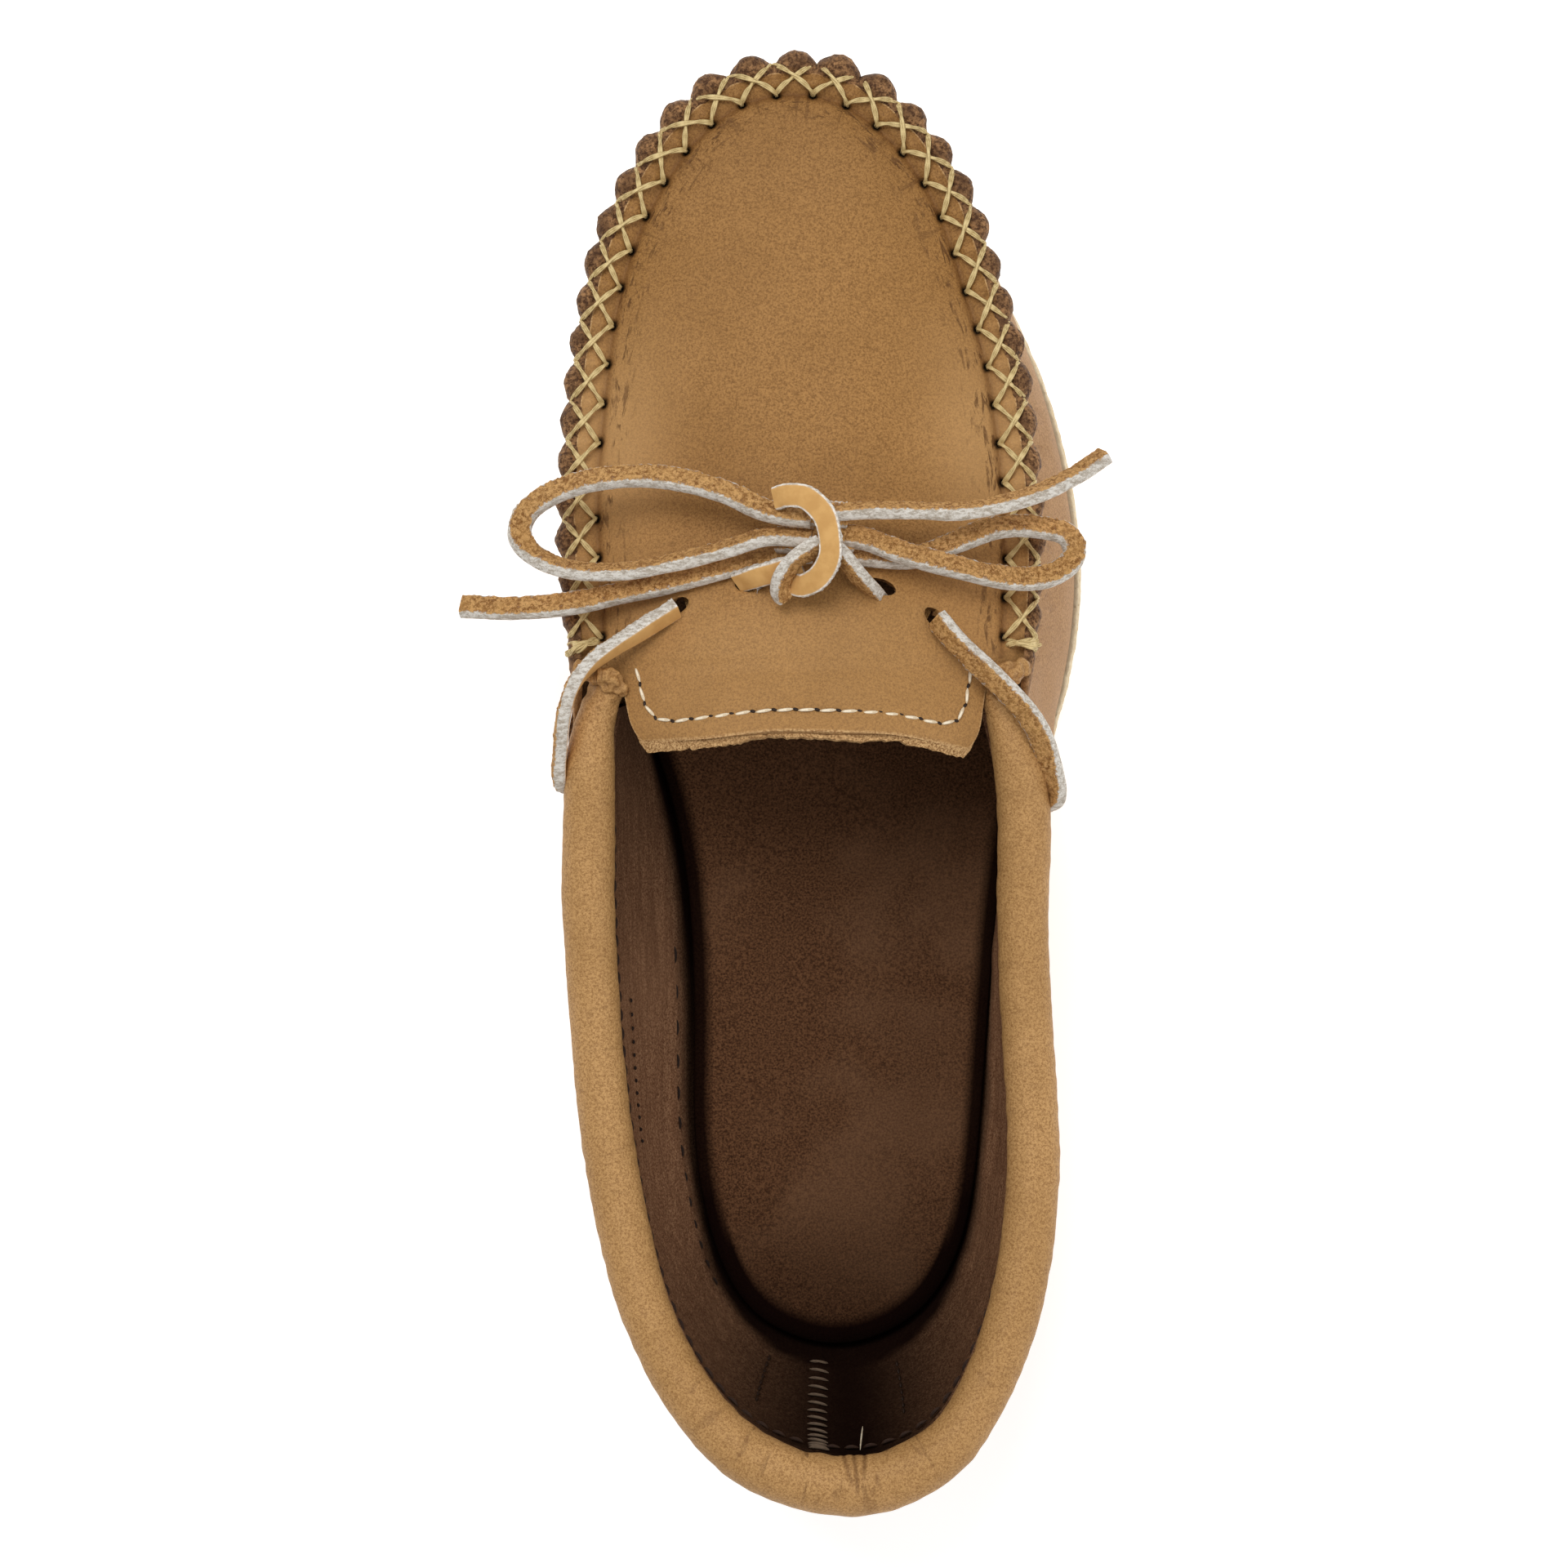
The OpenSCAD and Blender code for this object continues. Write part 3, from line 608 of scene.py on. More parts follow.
def suede_finish(name, pale, deep, patch=None, streaks=None):
    """Brushed suede: fine speckle, patches of laid nap or streaks, and painted shade, near black, where
    the shade value is 1.
    """
    f = Finish(name, roughness=0.95, specular=0.03)
    colour = f.blend(f.clouds(0.45, 4, 0.85, 0.38, 0.62), deep, pale)
    if patch:
        laid = f.clouds(26, 2, 0.5, 0.46, 0.72)
        colour = f.blend(f.times(laid, 0.3), colour, patch)
    if streaks:
        drawn = f.ramp(f.noise(1.0, 4, 0.7, f.stretched(streaks)), 0.38, 0.62)
        colour = f.blend(f.times(drawn, 0.45), colour, deep)
    # Painted shade, near black, by the value that carries it.
    colour = f.blend(f.times(f.value("dark"), 0.98), colour, (14, 4, 3))
    f.bump(f.noise(0.4, 4, 0.8), 0.3, 0.7)
    return f.done(colour)


def lace_finish():
    """Rawhide lace: rough suede on one side, smooth grain on the other, pale cut edges."""
    f = Finish("lace_leather", roughness=0.75, specular=0.2)
    side = f.value("side")
    suede = f.blend(f.clouds(0.9, 4, 0.85, 0.40, 0.60), (132, 84, 38), (222, 174, 112))
    tufts = f.clouds(2.2, 3, 0.7, 0.35, 0.65)
    suede = f.blend(f.times(tufts, 0.4), suede, (208, 158, 94))
    smooth = f.blend(f.clouds(3.0, 3, 0.6, 0.3, 0.7), (212, 166, 103), (198, 151, 90))
    fibre = f.ramp(f.noise(0.8, 4, 0.85, f.stretched((0.4, 1, 1))), 0.38, 0.60)
    cut = f.blend(fibre, (188, 174, 156), (246, 240, 230))
    wander = f.times(f.math("SUBTRACT", f.noise(0.9, 3, 0.7), 0.5), 0.7)
    ragged = f.math("ADD", side, wander)
    colour = f.blend(f.ramp(ragged, 0.72, 0.88), cut, suede)
    colour = f.blend(f.ramp(side, -0.78, -0.92), colour, smooth)
    rough = f.ramp(side, -0.4, -0.9, 1.0, 0.1)
    f.bump(f.times(f.noise(0.5, 4, 0.8), rough), 0.6, 0.9)
    return f.done(colour)


def thread_finish(name, pale, deep):
    """Waxed thread: fine fibres along it."""
    f = Finish(name, roughness=0.55, specular=0.3)
    fibres = f.noise(1.0, 3, 0.6, f.stretched((0.7, 6.0, 0), f.flat()))
    f.bump(fibres, 0.2, 0.8)
    return f.done(f.blend(f.ramp(fibres, 0.32, 0.6), deep, pale))


def crepe_finish():
    """Crepe rubber: crinkled and pitted, a little darker in the pits."""
    f = Finish("crepe", roughness=0.85, specular=0.25)
    crinkle = f.noise(1.6, 5, 0.7, warp=1.2)
    pits = f.cells(1.3)
    colour = f.blend(f.ramp(crinkle, 0.3, 0.7), (222, 198, 160), (244, 226, 192))
    colour = f.blend(f.ramp(pits, 0.0, 0.22, 0.3, 0.0), colour, (186, 158, 118))
    # Darker on the top of the lip beside the upper.
    colour = f.blend(f.value("rand"), colour, (128, 104, 82))
    f.bump(crinkle, 0.5, 0.8)
    f.bump(f.ramp(pits, 0.0, 0.25), 0.35, 0.7)
    return f.done(colour)


def board_finish():
    """Fibre board of the hidden heel counter."""
    f = Finish("counter_board", roughness=0.9, specular=0.15)
    holes = f.cells(1.2)
    f.bump(holes, 0.4, 0.7)
    return f.done(f.blend(f.ramp(holes, 0.1, 0.5), (150, 128, 100), (196, 176, 146)))


# ---- Camera, light and floor ----

def add_camera():
    """Straight down on the shoe from 0.8 m, with the toe at the top."""
    lens = bpy.data.cameras.new("camera")
    lens.sensor_width = 36
    lens.lens = 89.5
    camera = add_object("camera", lens)
    camera.location = (-0.0082, -0.0026, 0.8)
    bpy.context.scene.camera = camera


def add_light(name, place, size, power):
    """A round soft lamp that points at the shoe."""
    light = bpy.data.lights.new(name, "AREA")
    light.shape, light.size, light.energy = "DISK", size, power
    lamp = add_object(name, light)
    lamp.location = place
    x, y, z = np.array(place) / np.linalg.norm(place)
    lamp.rotation_euler = (math.acos(z), 0, math.atan2(-y, -x) - math.pi / 2)


def add_studio():
    """Pale floor, an even white surround and two soft lamps."""
    world = bpy.data.worlds.new("studio")
    world.use_nodes = True
    surround = world.node_tree.nodes["Background"]
    surround.inputs["Color"].default_value = (1, 1, 1, 1)
    surround.inputs["Strength"].default_value = 0.55
    bpy.context.scene.world = world
    add_light("key", (-0.25, 0.55, 1.1), 0.7, 7)
    add_light("fill", (0.8, -0.3, 0.8), 0.9, 3)
    bpy.context.scene.view_settings.view_transform = "Standard"
    mesh = bpy.data.meshes.new("floor")
    far = 8.0
    corners = [(-far, -far, 0), (far, -far, 0), (far, far, 0), (-far, far, 0)]
    mesh.from_pydata(corners, [], [(0, 1, 2, 3)])
    f = Finish("floor", roughness=0.9, specular=0.1)
    f.shader.inputs["Emission Color"].default_value = (1, 1, 1, 1)
    f.shader.inputs["Emission Strength"].default_value = 0.4
    mesh.materials.append(f.done(f.blend(f.noise(400), (0.93, 0.93, 0.93, 1), (0.96, 0.96, 0.96, 1))))
    add_object("floor", mesh)


# ---- Lace ----

def rough_band(path, facing, seed, width=LACE_W, thick=LACE_T, steps=18):
    """Length of lace: its suede side and edges are rough, and its width wanders a little."""
    fine = along(path, steps)
    if len(np.shape(facing)) == 2:
        facing = along(facing, steps)
    wide = width * (1 + 0.05 * waves(fine, 14, seed))
    points, faces, side = band(fine, facing, wide, thick * (1 + 0.06 * waves(fine, 9, seed + 1)))
    hair = waves(points, 0.9, seed + 2, 24) * 0.17 + waves(points, 2.6, seed + 3) * 0.10
    hair = hair * (0.2 + 0.8 * smoothstep(side, -0.2, 0.7))
    middle = np.repeat(fine, BAND_SIDES, axis=0)
    return points + unit(points - middle) * hair[:, None], faces, side


def lace_cord(name, path, facing, seed, body, node):
    """A run of lace along its path."""
    points, faces, side = rough_band(path, facing, seed, thick=2.7)
    piece = make(name, points, faces, LACE, body, "lace_leather", [node], side=side)


def lace_piece(name, parts, *nodes):
    """Lengths of lace that stay still, as one piece."""
    points, faces, side = joined(parts)
    make(name, points, faces, LACE, "shoe", "lace_leather", nodes, side=side)


def add_laces():
    """The free runs: two from the outer slits to the collar, and the bow's loops and tails."""
    lace_cord("lace_left_run", LEFT_SIDE + [[-49.8, -2.4, 49.4]], [
        [-0.45, 0.62, -0.5], [-0.45, 0.62, -0.45], [-0.5, 0.6, -0.35], [-0.6, 0.5, -0.2],
        [-0.85, 0.3, 0], [-1, 0.1, 0.1], [-1, 0, 0.15], [-1, 0, 0.1], [-1, 0, 0]],
        11, "shoe", "lace_left_side")
    lace_cord("lace_right_run", RIGHT_SIDE + [[42.4, -6, 49.4]], [
        [-0.5, -0.4, 0.6], [-0.5, -0.4, 0.7], [-0.5, -0.4, 0.8], [-0.5, -0.3, 0.85],
        [-0.5, -0.2, 0.85], [-0.5, 0, 0.85], [-0.6, 0.1, 0.8], [-0.8, 0, 0.6], [-0.9, 0, 0.3]],
        12, "shoe", "lace_right_side")
    flat, steep = [0.15, 0.6, 0.8], [-0.05, 0.9, 0.45]
    lace_cord("lace_left_loop", [[-3, 47.6, 65.4]] + LEFT_LOOP + [[-3, 43.6, 64.8]],
              [flat] * 8 + [steep] * 7, 13, "bow_left", "bow_left_loop")
    lace_cord("lace_left_tail", [[-3, 41.4, 61.6]] + LEFT_TAIL, [0.1, 0.5, 0.87], 14,
              "bow_left", "bow_left_tail")
    lace_cord("lace_right_loop", [[-1, 44.8, 63.6]] + RIGHT_LOOP + [[1, 41.6, 60.4]],
              [[0.15, 0.5, 0.85]] * 6 + [flat] * 8, 15, "bow_right", "bow_right_loop")
    lace_cord("lace_right_tail", [[-1, 48.2, 65.0]] + RIGHT_TAIL, [-0.15, 0.92, 0.42], 16,
              "bow_right", "bow_right_tail")


def add_knot():
    """The tied wraps: a strap over the middle, and the strands that run from it into the slits."""
    up = [0.0, 0.3, 0.95]
    strands = [
        ([[-7.6, 6.2, 2.4], [-5.4, 6.6, 4.6], [-1.9, 6.0, 6.2], [1.3, 2.8, 7.0], [2.4, -1.4, 7.1],
          [2.3, -5.4, 6.4], [0.4, -8.7, 4.9], [-2.4, -10.2, 2.9], [-4.6, -9.8, 0.6]],
         [0.16, 0.05, -0.98], 4.5, 2.0),
        ([[0.6, -2.6, 4.4], [-1.6, -3.8, 4.6], [-4.4, -5.8, 4.0], [-6.4, -8.6, 3.0],
          [-6.8, -11.0, 1.8], [-6.0, -12.4, 0.6]], [0.62, -0.5, 0.45], 4.0, 2.8),
        ([[2.5, -2.6, 3.8], [5.0, -5.0, 3.4], [7.3, -7.8, 2.2], [9.0, -9.5, -0.2],
          [10.6, -10.9, -3.4], [12.0, -12.1, -7.4]], [-0.5, -0.6, 0.45], 3.8, 2.6),
        ([[-3.0, -6.0, 2.2], [-7.6, -7.4, 1.4], [-11.6, -8.4, -0.2], [-14.8, -9.2, -3.6]],
         [-0.1, 0.35, -0.93], 4.4, 2.0),
        ([[-7.5, -1.4, -1.4], [-3, -1.6, -0.2], [2, -1.6, -0.2], [6.5, -1.4, -1.6]], up, 5.0, 2.6),
        ([[-6.5, 3.4, -0.4], [-2.5, 3.6, 0.8], [2, 3.4, 0.8], [5.5, 3.0, -0.4]], up, 5.0, 2.2)]
    parts = [rough_band(KNOT_AT + np.array(points), facing, 21 + k, width, thick)
             for k, (points, facing, width, thick) in enumerate(strands)]
    lace_piece("lace_knot", parts, "bow_knot")


def add_hidden_lace():
    """The runs under the plug and round the heel below the collar."""
    parts = [rough_band(LEFT_UNDER[:-1], UP, 31), rough_band(RIGHT_UNDER[:-2], UP, 32)]
    lace_piece("lace_under_plug", parts, "lace_left_under", "lace_right_under")
    u = np.arange((COLLAR_FIRST + 1) * 2 + 1, (COLLAR_LAST - 1) * 2, 2) / 2
    below = rough_band(collar_mid(u) - 7.4 * UP, outward(u), 33, steps=6)
    lace_piece("lace_round_heel", [below], "lace_heel_run")


# ---- Plug and tongue ----

SIDE_COLUMNS = 44
TONGUE_ROWS = 26
CROWN_CURVE = np.polyfit(np.arange(SEAM_FIRST, TOE + 1), CROWN, 4)
FOLD_Y = 20.6
TONGUE_L = 13.5
# The plug's middle line runs up to this y, and gains no more than this beyond it
SPINE_END, SPINE_FADE = 78.0, 24
# Lace slits through the plug: x, y, half length, half width and heading in degrees
SLITS = [(-28.8, 31.2, 2.7, 1.5, 28), (-14.4, 35.8, 3.2, 1.9, 10),
         (10.2, 34.9, 3.0, 1.5, -18), (20.7, 28.9, 2.7, 1.5, -46)]


def arch(share):
    """1 in the middle of the plug's width and 0 at its sides."""
    return 1 - np.abs(2 * share - 1) ** 2.2


def plug_height(x, y):
    """Height of the plug over its arch at points of its plan."""
    low, high = np.full(np.shape(x), float(SEAM_FIRST)), np.full(np.shape(x), float(TOE))
    for _ in range(24):
        u = (low + high) / 2
        a, b = rim(u), rim(2 * TOE - u)
        share = np.clip((x - a[..., 0]) / np.minimum(b[..., 0] - a[..., 0], -0.5), 0, 1)
        behind = mix(a[..., 1], b[..., 1], share) > y
        high, low = np.where(behind, u, high), np.where(behind, low, u)
    crown = np.maximum(np.polyval(CROWN_CURVE, u), 0)
    return mix(a[..., 2], b[..., 2], share) + crown * arch(share)


def tongue_at(t, share):
    """The tongue's top at t from its fold to its free edge, share from the inner to the outer side."""
    round_off = 3.2 * (1 - np.sqrt(1 - np.clip((t - 0.7) / 0.31, 0, 0.98) ** 2))
    x = mix(mix(-40.2, -36.8, t) + round_off, mix(31.2, 28.6, t) - round_off, share)
    dip = 3 * (1 - arch(share)) * t
    y = FOLD_Y - t * (TONGUE_L + dip) - 0.5 * t * waves(np.stack([x, x * 0], -1), 26, 5)
    z = 54.6 + 8.8 * arch(share) + t * (4.6 + 3.4 * arch(share))
    return np.stack([x, y, z], -1)


def plug_side(s):
    """One side of the plug in plan, from its edge at each s to the middle line: x, y, out, s."""
    u = seam_u(s)
    edge, n = rim(u), outward(u)
    middle = (edge + rim(seam_u(PITCHES - s))) / 2
    far = np.maximum(middle[:, 1] - SPINE_END, 0)
    spine_y = np.minimum(middle[:, 1], SPINE_END) + SPINE_FADE * (1 - np.exp(-far / SPINE_FADE))
    spine = np.stack([middle[:, 0], spine_y], -1)
    near_out = np.interp(np.linspace(0, 1, 22), np.linspace(0, 1, len(PLUG_OUT)), PLUG_OUT[::-1])
    rows = [np.column_stack([edge[:, :2] + out * n[:, :2], np.full(len(s), out), s])
            for out in near_out]
    last = rows[-1][:, :2]
    reach = np.linalg.norm(last - spine, axis=1)
    for k in range(1, SIDE_COLUMNS + 1):
        share = k / SIDE_COLUMNS
        rows.append(np.column_stack([mix(last, spine, share), PLUG_OUT[0] - share * reach, s]))
    return np.stack(rows, 1)


def slit_share(x, y, slit):
    """Distance from the middle of a slit, 1 on its rim."""
    cx, cy, a, b, heading = slit
    c, s = math.cos(math.radians(heading)), math.sin(math.radians(heading))
    dx, dy = x - cx, y - cy
    return np.hypot((dx * c + dy * s) / a, (dy * c - dx * s) / b)


def open_slits(points):
    """Moves the points inside each slit out to its rim."""
    for slit in SLITS:
        far = slit_share(points[:, 0], points[:, 1], slit)
        grow = np.where(far < 1, 1 / np.maximum(far, 0.05), 1)
        points[:, :2] = slit[:2] + (points[:, :2] - slit[:2]) * grow[:, None]


def plug_grid():
    """The tongue from its free edge, then the plug to the toe: points, out and s at each."""
    s = np.arange(0, PITCHES / 2 + 1e-6, 1 / 12)
    right, left = plug_side(s), plug_side(PITCHES - s)
    plan = np.concatenate([right, left[:, ::-1][:, 1:]], 1)
    x, y, out, where = np.moveaxis(plan, -1, 0)
    z = plug_height(x, y) + plug_rise(where, np.maximum(out, -7.0)) * (out > -7.01)
    throat = np.stack([x, y, z], -1)
    share = (x[0] - x[0, -1]) / (x[0, 0] - x[0, -1])
    t = np.linspace(1, 0, TONGUE_ROWS, endpoint=False)[:, None]
    flap = tongue_at(t * np.ones((1, plan.shape[1])), np.ones_like(t) * share)
    start = throat[0][None] + np.stack([0 * t, -t * TONGUE_L, 0 * t], -1)
    flap = mix(start, flap, smoothstep(t, 0, 0.24)[..., None])
    out, where = (np.vstack([np.repeat(a[:1], TONGUE_ROWS, 0), a]) for a in (out, where))
    return np.concatenate([flap, throat]), out, where


def add_plug():
    """Plug and tongue in one sheet, open at the slits, with its rolled edge and needle holes."""
    points, out, where = plug_grid()
    rows, columns = out.shape
    index = np.arange(out.size).reshape(out.shape)
    half = columns // 2
    index[-1, half + 1:] = index[-1, :half][::-1]
    points = points.reshape(-1, 3)
    faces = grid_faces(index, flip=True)
    slit = np.min([slit_share(points[:, 0], points[:, 1], one) for one in SLITS], axis=0)
    faces = faces[slit[faces].max(1) > 1]
    open_slits(points)
    sewn = (np.arange(rows) >= TONGUE_ROWS)[:, None] * np.ones((1, columns))
    soft = smoothstep(-out, 3.5, 9).ravel()
    points[:, 2] += soft * (0.35 * waves(points, 26, 3) + 0.12 * waves(points, 9, 4))
    points[:, 2] += 0.35 * hump(slit, 1.25, 0.3)
    shell, shell_faces = thicken(points, faces, 1.6)
    raw = np.zeros_like(out)
    raw[:, [0, -1]] = 1
    raw[0] = 1
    ahead = points[:, 1].reshape(out.shape)
    # Painted light on the plug's sides and the tongue, and painted shade towards the toe.
    side = 0.5 * smoothstep(-out, 30, 4) * smoothstep(ahead, 24, 62) * smoothstep(-ahead, -112, -60)
    tone = side + 0.3 * smoothstep(-ahead, -48, -26) - 0.22 * smoothstep(ahead, 84, 122)
    uv = np.stack([where.ravel() * PITCH, out.ravel()], -1)
    piece = make("plug_and_tongue", shell, shell_faces, plug_finish(), slot="plug_leather",
                 nodes=["plug", "tongue"], sharp=70, uv=np.vstack([uv, uv]),
                 near=outer(smoothstep(-out, 2.6, 4.2) * smoothstep(out, -11, -6) * sewn),
                 toe=outer(smoothstep(np.abs(where - PITCHES / 2), 9, 5)),
                 # Painted shade of the needle holes, near black.
                 hole=outer(smoothstep(-hole_distance(where, out, 1.3), -1.05, -0.45) * sewn),
                 # Painted shade along the hollow where the needle holes run.
                 hollow=outer(hump(out, -3.6, 0.8) * 0.5 * sewn),
                 raw=outer(raw), tone=outer(tone), flesh=1 - outer(np.ones_like(out)))
    bend(piece)


def bend(piece):
    """Bakes the piece's place into its mesh."""
    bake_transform(piece)


def add_tongue_lining():
    """Suede under the tongue, which stands out past its free edge."""
    t, share = np.meshgrid(np.linspace(0.05, 1.0, 16), np.linspace(0.015, 0.985, 90), indexing="ij")
    rows = tongue_at(t, share) - 1.85 * UP
    rows[-1, :, 1] -= 1.5 + 0.3 * waves(rows[-1], 1.4, 8) + 0.35 * waves(rows[-1], 7, 9)
    rows[-2, :, 1] -= 1.0
    rows[-3, :, 1] -= 0.5
    shell, shell_faces = thicken(*grid(rows), 1.1)
    shell[:, 2] += 0.12 * waves(shell, 0.8, 10)
    bend(make("tongue_lining_layer", shell, shell_faces, EDGE_SUEDE, slot="lining_suede",
              nodes=["tongue_lining"], dark=0.0))


def capsule(a, b, over, width, height, count=10, rows=7):
    """One stitch: a plump run of thread from a to b."""
    t = np.linspace(0, 1, rows)
    fat = np.sqrt(np.clip(1 - (2 * t - 1) ** 2, 0.02, 1)) ** 0.7
    path = mix(a[None], b[None], t[:, None]) + np.outer(np.sin(t * math.pi) * height * 0.35, over)
    points, faces, side = band(path, over, width * fat, height * fat, count, 0.8)
    return points, faces, np.repeat(t * np.linalg.norm(b - a), count), side


def stitches(name, runs, width, height, finish, node, body="shoe"):
    """Stitches of thread, each from a to b with its top facing over."""
    points, faces, u, v = joined([capsule(*run, width, height) for run in runs])
    return make(name, points, faces, finish, body, "cream_thread", [node], uv=np.stack([u, v], -1))


def stitch_row(line, overs, first, last):
    """Stitches between the points of a line, each over that share of the way to the next point."""
    return [(mix(a, b, first), mix(a, b, last), over) for a, b, over in zip(line, line[1:], overs)]


def add_tongue_stitches():
    """A lockstitch round the tongue's edge, with dark thread between the stitches as painted shade of
    each needle hole.
    """
    back = 0.70 + 0.12 * np.abs(np.linspace(-1, 1, 60)) ** 2.2
    t_line = np.concatenate([np.linspace(0.05, 0.75, 12), back, np.linspace(0.75, 0.05, 12)])
    s_line = np.concatenate([np.full(12, 0.05), np.linspace(0.075, 0.925, 60), np.full(12, 0.95)])
    line = tongue_at(t_line, s_line)
    for _ in range(9):
        line[1:-1] = (line[:-2] + 2 * line[1:-1] + line[2:]) / 4
    knots = resample(line, 4.1)
    threads, holes = [], []
    for a, b in zip(knots, knots[1:]):
        slant = np.cross(UP, unit(b - a)) * 0.14
        threads.append((mix(a, b, 0.1) - slant + 0.1 * UP, mix(a, b, 0.86) + slant + 0.1 * UP, UP))
        # Short dark thread at each needle hole: painted shade of the hole.
        holes.append((mix(a, b, 0.84) + 1.6 * slant + 0.02 * UP,
                      mix(a, b, 1.12) - 0.6 * slant + 0.02 * UP, UP))
    node = "tongue_stitches"
    bend(stitches("tongue_lockstitch", threads, 0.66, 0.55, CREAM_THREAD, node, None))
    bend(stitches("tongue_needle_hole_shade", holes, 0.62, 0.3, DARK_THREAD_AND_HOLE_SHADE, node, None))


# ---- Upper ----

def upper_samples():
    """Stations round the upper: twelve to a pitch along the seam, and as close under the collar."""
    s = np.arange(0, PITCHES, 1 / 12)
    rear = np.linspace(SEAM_LAST, SEAM_FIRST + COUNT, 301)[:-1]
    u = np.concatenate([seam_u(s), rear])
    where = np.concatenate([s, np.full(len(rear), np.nan)])
    return u, where


def seam_share(u):
    """1 along the plug seam and 0 under the collar, with a short blend at the throat."""
    u = np.mod(u, COUNT)
    return np.clip(np.minimum(u - (SEAM_FIRST - 1), SEAM_LAST + 1 - u), 0, 1)


def add_upper():
    """The wall, then the gathers at its rim, which turn in to the plug and show their flesh side."""
    u, s = upper_samples()
    on_seam = ~np.isnan(s)
    s = np.where(on_seam, s, 0.5)
    lift = puff(s) * fullness(s) * on_seam
    fold = (1 - puff(s)) * fullness(s) * on_seam
    share = seam_share(u)
    n, top = outward(u), rim(u)
    rows, flesh, near = [], [], []
    for v in np.concatenate([np.linspace(0, 0.3, 9), np.linspace(0.34, 0.76, 13)]):
        gather = -0.8 * fold * smoothstep(v, 0.3, 0.76)
        rows.append(wall(u, v) + (gather + 0.5 * lift * smoothstep(v, 0.4, 0.76))[:, None] * n)
        flesh.append(np.zeros(len(u)))
        near.append(smoothstep(v, 0.2, 0.75) * (0.25 + 0.75 * on_seam))
    for k, (pinched, full, plain) in enumerate(zip(GATHER_PINCHED, GATHER_FULL, RIM_EDGE)):
        out, rise = (mix(plain[i], mix(pinched[i], full[i], lift), share) for i in (0, 1))
        rows.append(top + out[:, None] * n + rise[:, None] * UP)
        flesh.append(smoothstep(k + 2.2 * lift, 3.2, 4.6) * share)
        near.append(0.3 + 0.7 * on_seam)
    points, faces = grid(rows, closed=True)
    faces, grow = turned(points, faces, np.tile(n, (len(rows), 1)))
    flesh = np.ravel(flesh)
    above_sole = np.repeat(smoothstep(np.arange(len(rows)), 1, 5), len(u))
    lumps = above_sole * (0.3 * waves(points, 34, 41) + 0.12 * waves(points, 11, 42))
    points = points + grow * lumps[:, None]
    points = points + grow * (flesh * 0.16 * waves(points, 1.5, 43))[:, None]
    shell, shell_faces = thicken(points, faces, 1.7)
    walls = points.reshape(len(rows), -1, 3)
    steps = np.linalg.norm(np.diff(walls, axis=0, prepend=walls[:1]), axis=2)
    uv = np.stack([np.tile(distances(top), len(rows)), np.cumsum(steps, 0).ravel()], -1)
    make("vamp_and_quarters", shell, shell_faces, upper_finish(), "shoe", "upper_leather", ["upper"],
         sharp=70, uv=np.vstack([uv, uv]), flesh=np.concatenate([flesh, np.ones(len(points))]),
         near=outer(near))


# ---- Seam thread ----

def seam_point(s, out, rise):
    u = seam_u(s)
    return rim(u) + out[:, None] * outward(u) + rise[:, None] * UP


def strand_pair(path, width, thick, turns, seed):
    """Flat thread of two strands laid together."""
    parts = []
    gone = distances(path)
    way = np.gradient(path, axis=0)
    over = np.cross(np.cross(way, UP), way)
    t = unit(way)
    over = unit(over - np.sum(over * t, 1, keepdims=True) * t)
    across = np.cross(t, over)
    for k in (0, 1):
        a = gone / gone[-1] * turns * math.pi + k * math.pi + seed
        sideways, upwards = np.cos(a) * width * 0.22, np.sin(a) * thick * 0.2
        centre = path + across * sideways[:, None] + over * upwards[:, None]
        points, faces, side = band(centre, over, width * 0.66, thick * 0.8, 8, 0.8)
        parts.append((points, faces, np.repeat(gone, 8), side))
    return joined(parts)


def cross_thread(hole, valley, top, seed):
    """One leg of a cross stitch, from its hole in the plug over the ridge to the valley outside."""
    out = np.array([-3.1, -2.95, -2.5, -1.6, -0.4, 0.8, 1.7, 2.4, 2.9, 3.1])
    rise = np.array([-1.3, 0.2, 1.35, 2.7, 3.35, 3.45, 3.2, 2.3, 1.1, -0.2])
    rise = rise + (0.4 if top else -0.15) * hump(out, 0.2, 1.6)
    s = hole + (valley - hole) * np.clip((out + 3.0) / 6.2, 0, 1)
    coarse = seam_point(s, out, rise)
    crown = plug_height(coarse[:, 0], coarse[:, 1]) - rim(seam_u(s))[:, 2]
    coarse[:, 2] += crown * smoothstep(-out, -0.6, 1.2)
    return strand_pair(along(coarse, 3), 1.0, 0.7, 2.6, seed)


def add_seam_thread():
    """Two crossed legs at each pitch of the seam, and a knot at each of its ends."""
    r = np.random.default_rng(7)
    parts = []
    for k in range(1, PITCHES):
        parts.append(cross_thread(k - 0.5, k + 0.5, True, r.uniform(0, 6)))
        parts.append(cross_thread(k + 0.5, k - 0.5, False, r.uniform(0, 6)))
    parts += [tied_end(0.35, 3), tied_end(PITCHES - 0.35, 4)]
    points, faces, u, v = joined(parts)
    make("seam_thread_crosses", points, faces, STRAW_THREAD, "shoe", "seam_thread",
         ["plug_seam_thread"], uv=np.stack([u, v], -1))


